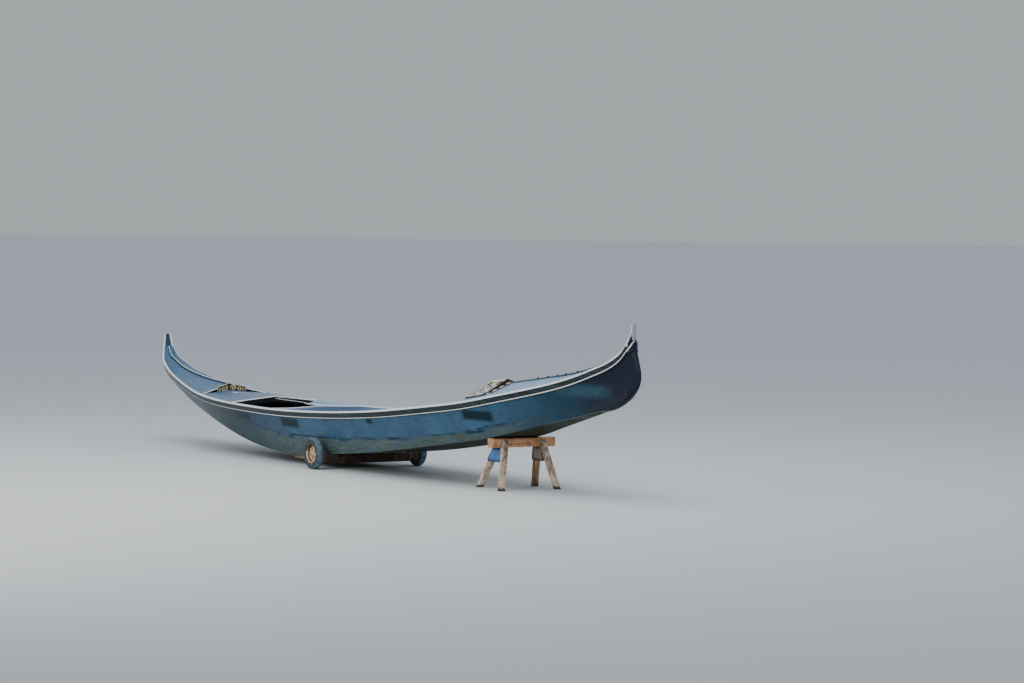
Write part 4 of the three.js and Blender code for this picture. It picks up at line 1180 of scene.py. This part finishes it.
def fore_board():
    """Gabled board on the fore deck's end, a shallow V in plan like it, with a level foot: paired scrolls
    inside a raised border on its aft face."""
    point_x = FORE_DECK_END - GAP
    wing_x = point_x - FORE_SWEEP * FORE_BOARD_SHARE
    wing = FORE_BOARD_SHARE * float(deck_half(wing_x))
    wing_top = float(gable_top(wing_x, wing, FORE_PITCH))
    base = wing_top - DECK - FORE_BOARD_DROP
    u = np.linspace(-1, 1, 260)[:, None]
    v = np.linspace(0, 1, 64)[None, :]
    fore_face = point_x + (wing_x - point_x) * np.abs(u) + 0 * v
    top = FORE_BOARD_RISE + gable_top(point_x, 0.0, FORE_PITCH) * (1 - np.abs(u)) + wing_top * np.abs(u)
    tall = top - base
    y = middle(point_x) * (1 - np.abs(u)) + (middle(wing_x) + np.sign(u) * wing) * np.abs(u)
    z = base + tall * v
    scrolls = [(s * cu, cz, radius, s * sense, phase) for s in (-1, 1) for cu, cz, radius, sense, phase in (
        (0.048, 0.052, 0.037, 1, 0.4), (0.108, 0.040, 0.029, -1, 1.9), (0.154, 0.032, 0.020, 1, 0.2))]
    relief = scrollwork(wing * u, z - base, scrolls)
    border = np.maximum(step_at(np.minimum(v * tall, (1 - v) * tall), 0.007, 0.004),
                        step_at(1 - np.abs(u), 0.03, 0.015))
    relief = np.maximum(relief, 0.8 * border)
    front = fore_face - FORE_BOARD_THICK + BOARD_RELIEF * (1 - relief)
    y = np.broadcast_to(y, front.shape)
    rings = out_and_back(np.stack([front, y, z], axis=-1), np.stack([fore_face, y, z], axis=-1))
    gilt = relief * (1 - step_at(v * tall, 0.012, 0.006))
    Body().rings(rings, gilt=out_and_back(gilt, 0.9 * border), lilac=0.0).piece(
        "fore_board_carving", gilding, "gilding", stands_for=["fore_deck_board"], sharp=50)


fore_board()

STRIP_LENGTH = 0.080  # the low carved strip behind the gabled slab


def aft_carving():
    """Raised gabled slab on the front of the aft deck, following its swept end: scrolls in sunk panels
    and a black edge at its aft end, then a low strip with blocks on it."""
    slab_from = AFT_DECK_END - CARVING_LENGTH
    x = np.linspace(slab_from, AFT_DECK_END, 116)[:, None]
    share = np.linspace(-1, 1, 260)[None, :]
    along = x + aft_sweep(CARVING_SHARE * np.abs(share))
    full = CARVING_SHARE * deck_half(along)
    offset = share * full
    thick = 0.017 + 0.035 * (1 - np.abs(share))
    deck = gable_top(along, offset, AFT_PITCH) + 0.0007
    from_aft = x - slab_from
    scrolls = [(cu, s * cv, radius, s * sense, phase) for s in (-1, 1) for cu, cv, radius, sense, phase in (
        (0.150, 0.100, 0.064, 1, 0.3), (0.150, 0.225, 0.058, -1, 1.2), (0.150, 0.335, 0.044, 1, 2.2),
        (0.065, 0.160, 0.036, -1, 0.9), (0.235, 0.160, 0.036, 1, 0.9), (0.065, 0.285, 0.032, 1, 0.1),
        (0.235, 0.285, 0.032, -1, 1.5))]
    relief = scrollwork(from_aft + 0 * share, offset, scrolls)
    edge = np.minimum(np.minimum(from_aft, CARVING_LENGTH - from_aft), (1 - np.abs(share)) * full)
    border = step_at(edge, 0.020, 0.013)
    spine = step_at(np.abs(offset), 0.042, 0.028)
    relief = np.maximum(relief, np.maximum(border * 0.9, spine))
    top = deck + thick - 0.008 * (1 - relief)
    black = np.maximum(step_at(from_aft, 0.030, 0.022) + 0 * share, step_at(edge, 0.010, 0.006))
    gilt = relief * (1 - black)
    lilac = step_at(np.abs(share), 0.2, 0.45) * (1 - black)
    body = Body()

    def slab(along, offset, top, low, gilt, lilac):
        rings = hull_rings(out_and_back(along), out_and_back(offset), out_and_back(top, low))
        body.rings(rings, gilt=out_and_back(gilt, 0 * gilt), lilac=out_and_back(lilac, 0 * gilt))

    slab(along, offset, top, deck, gilt, lilac)
    x = np.linspace(slab_from - STRIP_LENGTH, slab_from - 0.001, 24)[:, None]
    share = np.linspace(-0.93, 0.93, 300)[None, :]
    along = x + aft_sweep(CARVING_SHARE * np.abs(share))
    offset = share * CARVING_SHARE * deck_half(along)
    deck = gable_top(along, offset, AFT_PITCH)
    block = step_at(np.abs(np.mod(np.abs(offset) + 0.03, 0.11) - 0.055), 0.030, 0.022)
    block = block * step_at(np.abs(x - (slab_from - 0.5 * STRIP_LENGTH)), 0.030, 0.024)
    slab(along, offset, deck + 0.009 + 0.006 * block, deck + 0.0007, block, 0.35 * (1 - block))
    body.piece("aft_gable_carving", gilding, "gilding", stands_for=["aft_deck_carving"], sharp=50)


aft_carving()


# Ends

# Rows up the stern and the bow: nose x, nose z, root x, root z. The root lies flush with the planking.
STERN_ROWS = (
    (-4.790, 0.885, -4.790, 0.897), (-4.960, 0.915, -4.960, 0.940), (-5.120, 0.972, -5.120, 0.998),
    (-5.255, 1.052, -5.253, 1.075), (-5.350, 1.124, -5.253, 1.110), (-5.402, 1.190, -5.253, 1.170),
    (-5.421, 1.270, -5.253, 1.250), (-5.408, 1.345, -5.253, 1.335), (-5.381, 1.415, -5.253, 1.410),
    (-5.341, 1.514, -5.253, 1.505), (-5.304, 1.597, -5.253, 1.585), (-5.298, 1.640, -5.256, 1.640),
    (-5.302, 1.690, -5.262, 1.690), (-5.307, 1.740, -5.268, 1.740), (-5.312, 1.790, -5.271, 1.790),
)
# Height and half breadth at the root, above the rails
STERN_HEAD = ((1.592, 0.0725), (1.630, 0.050), (1.690, 0.023), (1.740, 0.017), (1.790, 0.0155))
BOW_ROWS = (
    (4.770, 0.654, 4.770, 0.666), (4.950, 0.700, 4.950, 0.714), (5.110, 0.750, 5.110, 0.768),
    (5.240, 0.805, 5.240, 0.833), (5.336, 0.870, 5.284, 0.875), (5.394, 0.950, 5.284, 0.950),
    (5.421, 1.050, 5.284, 1.050), (5.421, 1.150, 5.284, 1.140), (5.398, 1.235, 5.300, 1.235),
    (5.360, 1.303, 5.316, 1.302),
)
BOW_HEAD = ((1.150, 0.070), (1.220, 0.054), (1.302, 0.037))
NOSE_HALF = 0.012
END_REACH = 5.4215  # neither end lies further from the middle than this
HEAD_FOOT = 1.640  # where the stern head's cap sits on the nose
NOSE_COLUMNS = 18  # points from the root to the nose
BACK_SHARES = (-0.86, -0.5, 0.0, 0.5, 0.86)  # points across the back, as shares of the root's half breadth
BACK_FROM = 2 * NOSE_COLUMNS - 1


def skin_half(x, z):
    """Half breadth of the hull's outer face at a height: the planking, or the wale's face above its lower
    edge."""
    inside = np.clip(x, HULL_FROM, HULL_TO)
    low, top = wale_bottom(inside), plank_top(inside)
    lean = np.clip((z - low) / (top - low), 0, 1)
    band = (side_half(inside, share_at(inside, low)) + WALE) * (1 - lean) + half_beam(inside) * lean
    return np.where(z > low, band, side_half(inside, share_at(inside, z)))


def end_surface(table, count, head):
    """Rings up an end of the boat. Each runs from the root on one side round the rounded nose to the root
    on the other, and is closed by a few points across the back. Above the rails the half breadth at the
    root follows the table head. Returns x, offsets, heights, the share of the way to the nose and the
    distance from the root."""
    table, head = np.array(table), np.array(head)
    run = np.concatenate([[0], np.cumsum(np.hypot(np.diff(table[:, 0]), np.diff(table[:, 1])))])
    at = np.linspace(0, run[-1], count)
    nose_x, nose_z = smooth_curve(run, table[:, 0])(at), smooth_curve(run, table[:, 1])(at)
    nose_x = np.clip(nose_x, -END_REACH, END_REACH)
    root_x, root_z = np.interp(at, run, table[:, 2]), np.interp(at, run, table[:, 3])
    by_table = np.interp(root_z, head[:, 0], head[:, 1])
    root = np.where(root_z > head[0, 0], by_table, skin_half(root_x, root_z))[:, None]
    s = 1 - (1 - np.linspace(0, 1, NOSE_COLUMNS)[None, :]) ** 2
    nose = NOSE_HALF + 0.005 * step_at(root_z, 1.60, 1.70)[:, None]
    half = (root - nose) * (1 - s**1.6) + nose * np.sqrt(1 - s**8)
    back = root * np.array([BACK_SHARES])
    s = np.concatenate([s, s[:, -2::-1], np.zeros((1, len(BACK_SHARES)))], axis=1)
    offsets = np.concatenate([half, -half[:, -2::-1], back], axis=1)
    x = root_x[:, None] + (nose_x - root_x)[:, None] * s
    z = root_z[:, None] + (nose_z - root_z)[:, None] * s
    return x, offsets, z, s, np.hypot(x - root_x[:, None], root - np.abs(offsets))


SHARP_LINE = 0.0035  # how softly a painted line's edge blends


def line_at(value, half):
    """1 within a painted line's half width of 0."""
    return step_at(np.abs(value), half + SHARP_LINE / 2, half - SHARP_LINE / 2)


def stern_end():
    """The stern's foot, nose and head. The lower white line climbs to the nose, the upper one goes up the
    head's fore edge, and the wale's dark band narrows to a point between them."""
    x, offsets, z, s, d = end_surface(STERN_ROWS, 520, STERN_HEAD)
    lower = 1.5105 + 1.05 * d + 6.2 * d**2
    columns = np.arange(x.shape[1])
    back = np.broadcast_to(columns >= BACK_FROM, x.shape)
    above = step_at(z, 1.560, 1.575)
    lower_line = line_at((z - lower) / np.hypot(1, 1.05 + 12.4 * d), 0.0060) * (x < HULL_FROM) * (~back)
    lower_line = lower_line * ((columns < NOSE_COLUMNS) | (s < 0.5))
    up_line = step_at(s, 0.32, 0.26) * above
    line = np.maximum(lower_line, up_line)
    band = step_at(z, lower, lower + 0.004)
    strip_from = 0.80 - 0.42 * step_at(z, 1.635, 1.700)
    grey = step_at(s, strip_from, strip_from + 0.08) * step_at(z, 1.622, 1.634) * (~back)
    for name, slot, keep, nodes in (
        ("stern_nose", "hull_paint", z[:, NOSE_COLUMNS - 1] < HEAD_FOOT + 0.0005, ["stern_post"]),
        ("stern_head", "head_grey", z[:, NOSE_COLUMNS - 1] > HEAD_FOOT - 0.0005, ["stern_head_cap"]),
    ):
        Body().rings(hull_rings(x[keep], offsets[keep], z[keep]), rise=(z - 0.9)[keep], line=line[keep],
                     band=band[keep], grey=grey[keep], deck=0.0).piece(
            name, end_black, slot, stands_for=nodes)


def bow_end():
    """The bow's foot, nose and head, its back in deck paint between white edges."""
    x, offsets, z, s, _ = end_surface(BOW_ROWS, 440, BOW_HEAD)
    d = np.maximum(0, x - HULL_TO)
    low = float(wale_bottom(HULL_TO))
    lower = low + 0.0045 + 1.2 * d + 6 * d**2
    columns = np.arange(x.shape[1])
    back = np.broadcast_to(columns >= BACK_FROM, x.shape)
    edge = np.isin(columns, (BACK_FROM, columns[-1]))
    above = step_at(z, 1.118, 1.132)
    line = np.maximum(line_at(z - lower, 0.005) * (~back), step_at(s, 0.16, 0.12) * above * (~back))
    line = np.maximum(line, step_at(z, 1.140, 1.146) * edge)
    band = step_at(z, lower, lower + 0.004) * (~back)
    deck = step_at(z, 1.12, 1.14) * back * (~edge)
    Body().rings(hull_rings(x, offsets, z), rise=z - 0.7, line=line, band=band, grey=0.0, deck=deck).piece(
        "bow_nose", end_black, "hull_paint", stands_for=["bow_stem"])


stern_end()
bow_end()


# Inside and underneath

PLATE_FOOT = 0.035  # the trestle's plates have their lower corners rounded by this much

for node_name, piece_name, piece_material, piece_slot, piece_ease in (
    ("floor_timbers", "floor_frames", inside_black, "inside_paint", 0.003),
    ("port_ribs", "port_frames", inside_black, "inside_paint", 0.003),
    ("starboard_ribs", "starboard_frames", inside_black, "inside_paint", 0.003),
    ("fore_well_beam", "fore_cross_beam", inside_black, "inside_paint", 0.002),
    ("aft_bulkhead", "aft_bulkhead_board", inside_black, "inside_paint", 0.002),
    ("fore_thwart", "fore_seat_board", inside_black, "inside_paint", 0.004),
    ("middle_thwart", "middle_seat_board", inside_black, "inside_paint", 0.004),
    ("port_floorboards", "port_floor_panel", inside_black, "inside_paint", 0.003),
    ("starboard_floorboards", "starboard_floor_panel", inside_black, "inside_paint", 0.003),
    ("dolly_bolster", "dolly_cross_beam", shaded_red_wood, "dolly_wood", 0.006),
    ("dolly_port_rail", "dolly_port_plank", rail_wood, "dolly_wood", 0.003),
    ("dolly_starboard_rail", "dolly_starboard_plank", rail_wood, "dolly_wood", 0.003),
    ("dolly_port_bracket", "dolly_port_axle", steel, "steel", 0.0012),
    ("dolly_starboard_bracket", "dolly_starboard_axle", steel, "steel", 0.0012),
    ("trestle_port_fore_leg", "port_fore_post", leg_wood, "trestle_wood", 0.005),
    ("trestle_port_aft_leg", "port_aft_post", leg_wood, "trestle_wood", 0.005),
    ("trestle_starboard_fore_leg", "starboard_fore_post", brown_wood, "trestle_wood", 0.005),
    ("trestle_starboard_aft_leg", "starboard_aft_post", leg_wood, "trestle_wood", 0.005),
    ("trestle_port_gusset", "port_blue_plate", blue_board, "blue_paint", 0.0015),
    ("trestle_starboard_gusset", "starboard_ply_plate", ply_board, "plywood", 0.0015),
):
    softened(node_name, piece_name, piece_material, piece_ease,
             PLATE_FOOT if "gusset" in node_name else 0.0)


def trestle_beam():
    """The trestle's beam: a rounded square section along Y, its corners worn and its ends rubbed round."""
    low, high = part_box("trestle_beam")
    t = np.linspace(-1, 1, 150)
    cx, cy, cz = [(low[i] + high[i]) / 2 for i in range(3)]
    half_x, half_y, half_z = [(high[i] - low[i]) / 2 for i in range(3)]
    c, s = rounded_section(56, 0.30)
    uneven = waver(4 * t[:, None], 3 * c[None, :], 3 * s[None, :])
    worn = 1 - 0.22 * np.abs(t[:, None]) ** 40 - 0.012 * (1 + uneven)
    dent = 1 - 0.05 * bump_at(t[:, None], 0.35, 0.03) * (s[None, :] > 0.5)
    x = cx + half_x * worn * c[None, :]
    y = cy + half_y * np.sin(np.pi / 2 * np.sign(t) * np.abs(t) ** 0.97)[:, None] + 0 * c[None, :]
    z = cz + half_z * worn * dent * s[None, :]
    top = z > cz + 0.97 * half_z
    z = np.where(top, cz + half_z * (0.985 + 0.015 * worn), z)
    Body().rings(np.stack([x, y, z], axis=-1)).piece(
        "trestle_head_beam", beam_wood, "trestle_wood", stands_for=["trestle_beam"], sharp=50)


trestle_beam()


# Wheels

TYRE_SECTION = 96
TYRE_TURN = 200
TYRE_HALF = 0.0418
TYRE_DEPTH = 0.0345  # half of the section's depth
TREAD_WAVES = 26


def tyre(side_name, side):
    """Round tyre: a rounded oblong section turned about the axle, with zigzag grooves and shoulder blocks."""
    a = full_turn(TYRE_SECTION)[None, :]
    turn = full_turn(TYRE_TURN)[:, None]
    y = TYRE_HALF * np.sign(np.cos(a)) * np.abs(np.cos(a)) ** 0.75
    r = TYRE_RADIUS + TYRE_DEPTH * (np.sign(np.sin(a)) * np.abs(np.sin(a)) ** 0.62 - 1)
    zigzag = 0.0020 * np.sin(TREAD_WAVES * turn)
    on_tread = step_at(r, 0.158, 0.168)
    groove = sum(bump_at(np.abs(y) + zigzag, place, 0.0032) for place in (0.0075, 0.0200))
    block = step_at(np.sin(2 * TREAD_WAVES * turn), 0.35, 0.75) * step_at(np.abs(y), 0.024, 0.028)
    cut = np.clip(groove + block, 0, 1)
    r = r - 0.0045 * cut * on_tread
    ring = 0.0012 * (bump_at(r, 0.118, 0.0015) + bump_at(r, 0.132, 0.0015)) * np.sign(y)
    # Pale where the tread and the side rings stand out: dust, with a painted highlight on the tread; the cuts
    # stay dark as painted shade
    worn = np.clip(step_at(r, 0.150, 0.171) * (1 - cut) + 0.4 * (np.abs(ring) > 0.0006), 0, 1)
    y = side * TRACK_HALF + y + 0 * ring
    rings = np.stack([r * np.cos(turn), y, TYRE_RADIUS + r * np.sin(turn)], axis=-1)
    Body().rings(rings, turned=True, worn=worn).piece(
        f"{side_name}_tyre_tread", rubber, "tyre", f"{side_name}_wheel", [f"{side_name}_tyre"])


# Section of the pressed wheel, from the middle of its outer face round the rolled flanges to the inner face,
# and through the bore: offset from the middle plane, outboard positive, and radius
WHEEL_PROFILE = (
    (0.0438, 0.0112), (0.0438, 0.0200), (0.0425, 0.0225), (0.0300, 0.0235), (0.0160, 0.0245),
    (0.0100, 0.0270), (0.0065, 0.0320), (0.0030, 0.0400), (0.0005, 0.0500), (0.0005, 0.0700),
    (0.0020, 0.0790), (0.0060, 0.0860), (0.0130, 0.0905), (0.0230, 0.0925), (0.0285, 0.0950),
    (0.0325, 0.0990), (0.0345, 0.1035), (0.0335, 0.1060), (0.0300, 0.1050), (0.0240, 0.1000),
    (0.0000, 0.0975), (-0.0240, 0.1000), (-0.0300, 0.1050), (-0.0335, 0.1060), (-0.0345, 0.1035),
    (-0.0325, 0.0990), (-0.0230, 0.0940), (-0.0090, 0.0910), (-0.0055, 0.0840), (-0.0040, 0.0700),
    (-0.0040, 0.0500), (-0.0080, 0.0400), (-0.0120, 0.0320), (-0.0160, 0.0270), (-0.0300, 0.0240),
    (-0.0425, 0.0225), (-0.0438, 0.0200), (-0.0438, 0.0112),
)
WHEEL_HOLLOWS = 6
HUB_NUTS = 4
NUT_CIRCLE = 0.0385
# A nut and the end of its stud: distance from the disc, and radius
NUT_SECTION = ((0.0, 0.0080), (0.0085, 0.0080), (0.0100, 0.0066), (0.0100, 0.0040), (0.0140, 0.0038))


def wheel(side_name, side):
    """Pressed wheel turned about the axle, deeply dished on its outer face, with shallow hollows round its
    disc, rust in them and in the dish, painted shade drawn as dark rust in the upper part of the dish and on
    the upper half of the outer flange, and nuts."""
    table = np.array(WHEEL_PROFILE)
    run = np.concatenate([[0], np.cumsum(np.hypot(*np.diff(table, axis=0).T))])
    at = np.linspace(0, run[-1], 120)
    y, r = np.interp(at, run, table[:, 0])[None, :], np.interp(at, run, table[:, 1])[None, :]
    turn = full_turn(160)[:, None]
    on_disc = step_at(np.abs(r - 0.062), 0.018, 0.010) * (np.abs(y) < 0.012)
    hollow = on_disc * step_at(np.cos(WHEEL_HOLLOWS * turn), 0.15, 0.65)
    dish = step_at(np.abs(r - 0.089), 0.008, 0.004) * (y > 0.001) * (y < 0.026)
    # Painted shade, drawn as rust, on the outer flange's upper half
    upper_flange_shade = step_at(r, 0.0935, 0.0955) * (y > 0.02) * step_at(np.sin(turn), 0.1, 0.6)
    rust_and_shade = np.maximum(np.maximum(hollow, dish * 0.6), upper_flange_shade * 0.8)
    # Painted shade in the dish's upper side, where its wall is out of the light
    deep = dish * step_at(np.cos(turn - 2.0), -0.1, 0.5) * step_at(r, 0.0965, 0.0945)
    y = y - np.sign(y + 0.002) * 0.0012 * hollow
    rings = np.stack([r * np.cos(turn), side * (TRACK_HALF + y), TYRE_RADIUS + r * np.sin(turn)], axis=-1)
    body = Body().rings(rings, turned=True, hollow=rust_and_shade, deep=deep)
    hexagon = full_turn(6)
    for k in range(HUB_NUTS):
        angle = np.pi / 4 + k * 2 * np.pi / HUB_NUTS
        out, radius = np.array(NUT_SECTION).T[:, :, None]
        x = NUT_CIRCLE * np.cos(angle) + radius * np.cos(hexagon + angle)
        z = TYRE_RADIUS + NUT_CIRCLE * np.sin(angle) + radius * np.sin(hexagon + angle)
        for face, foot in ((-1, 0.0075), (1, 0.0025)):
            y = side * (TRACK_HALF + face * (foot + out)) + 0 * x
            body.rings(np.stack([x, y, z], axis=-1), hollow=0.9, deep=0.0)
    body.piece(f"{side_name}_wheel_disc", enamel, "wheel_paint", f"{side_name}_wheel",
               [f"{side_name}_rim"], sharp=40)


for side_name, side_sign in SIDES:
    tyre(side_name, side_sign)
    wheel(side_name, side_sign)


def bolt_head(body, centre, axis, radius, height):
    """Adds a six-sided head that stands on a face, its axis along X, Y or Z and its top corners taken off."""
    hexagon = full_turn(6)
    rows = []
    for share, size in ((0.0, 1.0), (0.8, 1.0), (1.0, 0.8)):
        flat = np.zeros((6, 3))
        flat[:, (axis + 1) % 3] = size * radius * np.cos(hexagon)
        flat[:, (axis + 2) % 3] = size * radius * np.sin(hexagon)
        flat[:, axis] = share * height
        rows.append(np.array(centre) + flat)
    return body.rings(np.stack(rows))


bolts = Body()
for side_name, side_sign in SIDES:
    for bolt_x in (-0.035, 0.035):
        bolt_head(bolts, (bolt_x, side_sign * 0.5503, 0.128), 1, 0.008, side_sign * 0.006)
    box_low, box_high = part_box(f"dolly_{side_name}_rail")
    for bolt_x in (0.12, 0.90):
        bolt_head(bolts, (bolt_x, (box_low[1] + box_high[1]) / 2, box_low[2]), 2, 0.008, -0.005)
bolts.piece("dolly_bolts", steel, "steel")

screws = Body()
for plate in ("trestle_port_gusset", "trestle_starboard_gusset"):
    box_low, box_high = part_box(plate)
    for screw_x in (0.16, 0.84):
        for screw_z in (0.2, 0.5, 0.8):
            place_x = box_low[0] + (box_high[0] - box_low[0]) * screw_x
            place_z = box_low[2] + (box_high[2] - box_low[2]) * screw_z
            bolt_head(screws, (place_x, box_high[1] - 0.002, place_z), 1, 0.0035, 0.0032)
screws.piece("plate_screws", steel, "steel")


# Stage

SKY = 0.75


def stage():
    """Plain pale floor, and soft studio light from above and from the camera's left."""
    floor_mesh = bpy.data.meshes.new("floor")
    reach = 400.0
    floor_mesh.from_pydata([(-reach, -reach, 0), (reach, -reach, 0), (reach, reach, 0), (-reach, reach, 0)],
                           [], [(0, 1, 2, 3)])
    floor = bpy.data.objects.new("floor", floor_mesh)
    scene.collection.objects.link(floor)
    material = bpy.data.materials.new("pale_floor")
    material.use_nodes = True
    shader = material.node_tree.nodes["Principled BSDF"]
    shader.inputs["Base Color"].default_value = colour(0.62, 0.64, 0.63)
    shader.inputs["Roughness"].default_value = 1.0
    shader.inputs["Specular IOR Level"].default_value = 0.0
    floor_mesh.materials.append(material)

    # The sky lights the boat, and the camera sees a greyer one in its place
    world = bpy.data.worlds.new("studio")
    world.use_nodes = True
    tree = world.node_tree
    sky = tree.nodes["Background"]
    sky.inputs["Color"].default_value = colour(0.78, 0.86, 1.0)
    sky.inputs["Strength"].default_value = SKY
    seen = put(tree, "Background", {"Color": colour(0.58, 0.62, 0.64), "Strength": SKY})
    swap = put(tree, "MixShader", {0: put(tree, "LightPath").outputs["Is Camera Ray"],
                                   1: sky.outputs["Background"], 2: seen.outputs["Background"]})
    tree.links.new(swap.outputs[0], tree.nodes["World Output"].inputs["Surface"])
    scene.world = world

    for name, place, size, power, tint in (
        ("overhead", (-2.0, 3.0, 11.0), 12.0, 900.0, (1.0, 0.98, 0.95)),
        ("camera_left", (-6.0, 14.0, 6.0), 8.0, 700.0, (1.0, 0.97, 0.92)),
    ):
        lamp = bpy.data.lights.new(name, "AREA")
        lamp.shape = "DISK"
        lamp.size = size
        lamp.energy = power
        lamp.color = tint
        lit = bpy.data.objects.new(name, lamp)
        lit.location = place
        aim = np.array([0.0, 0.0, 0.5]) - np.array(place)
        lit.rotation_euler = Vector(aim).to_track_quat("-Z", "Y").to_euler()
        scene.collection.objects.link(lit)


def add_camera():
    """The photograph's camera: yaw about Z, then pitch down, then roll about the view."""
    cos_yaw, sin_yaw = math.cos(CAMERA_YAW), math.sin(CAMERA_YAW)
    cos_pitch, sin_pitch = math.cos(CAMERA_PITCH), math.sin(CAMERA_PITCH)
    forward = np.array([cos_yaw * cos_pitch, -sin_yaw * cos_pitch, -sin_pitch])
    level = np.array([-sin_yaw, -cos_yaw, 0.0])
    above = np.cross(level, forward)
    right = math.cos(CAMERA_ROLL) * level + math.sin(CAMERA_ROLL) * above
    up = -math.sin(CAMERA_ROLL) * level + math.cos(CAMERA_ROLL) * above
    data = bpy.data.cameras.new("camera")
    data.lens = CAMERA_LENS
    data.sensor_width = SENSOR_WIDTH
    data.clip_end = 300.0
    camera = bpy.data.objects.new("camera", data)
    camera.matrix_world = Matrix([
        [right[0], up[0], -forward[0], CAMERA_PLACE[0]],
        [right[1], up[1], -forward[1], CAMERA_PLACE[1]],
        [right[2], up[2], -forward[2], CAMERA_PLACE[2]],
        [0.0, 0.0, 0.0, 1.0],
    ])
    scene.collection.objects.link(camera)
    scene.camera = camera


stage()
add_camera()
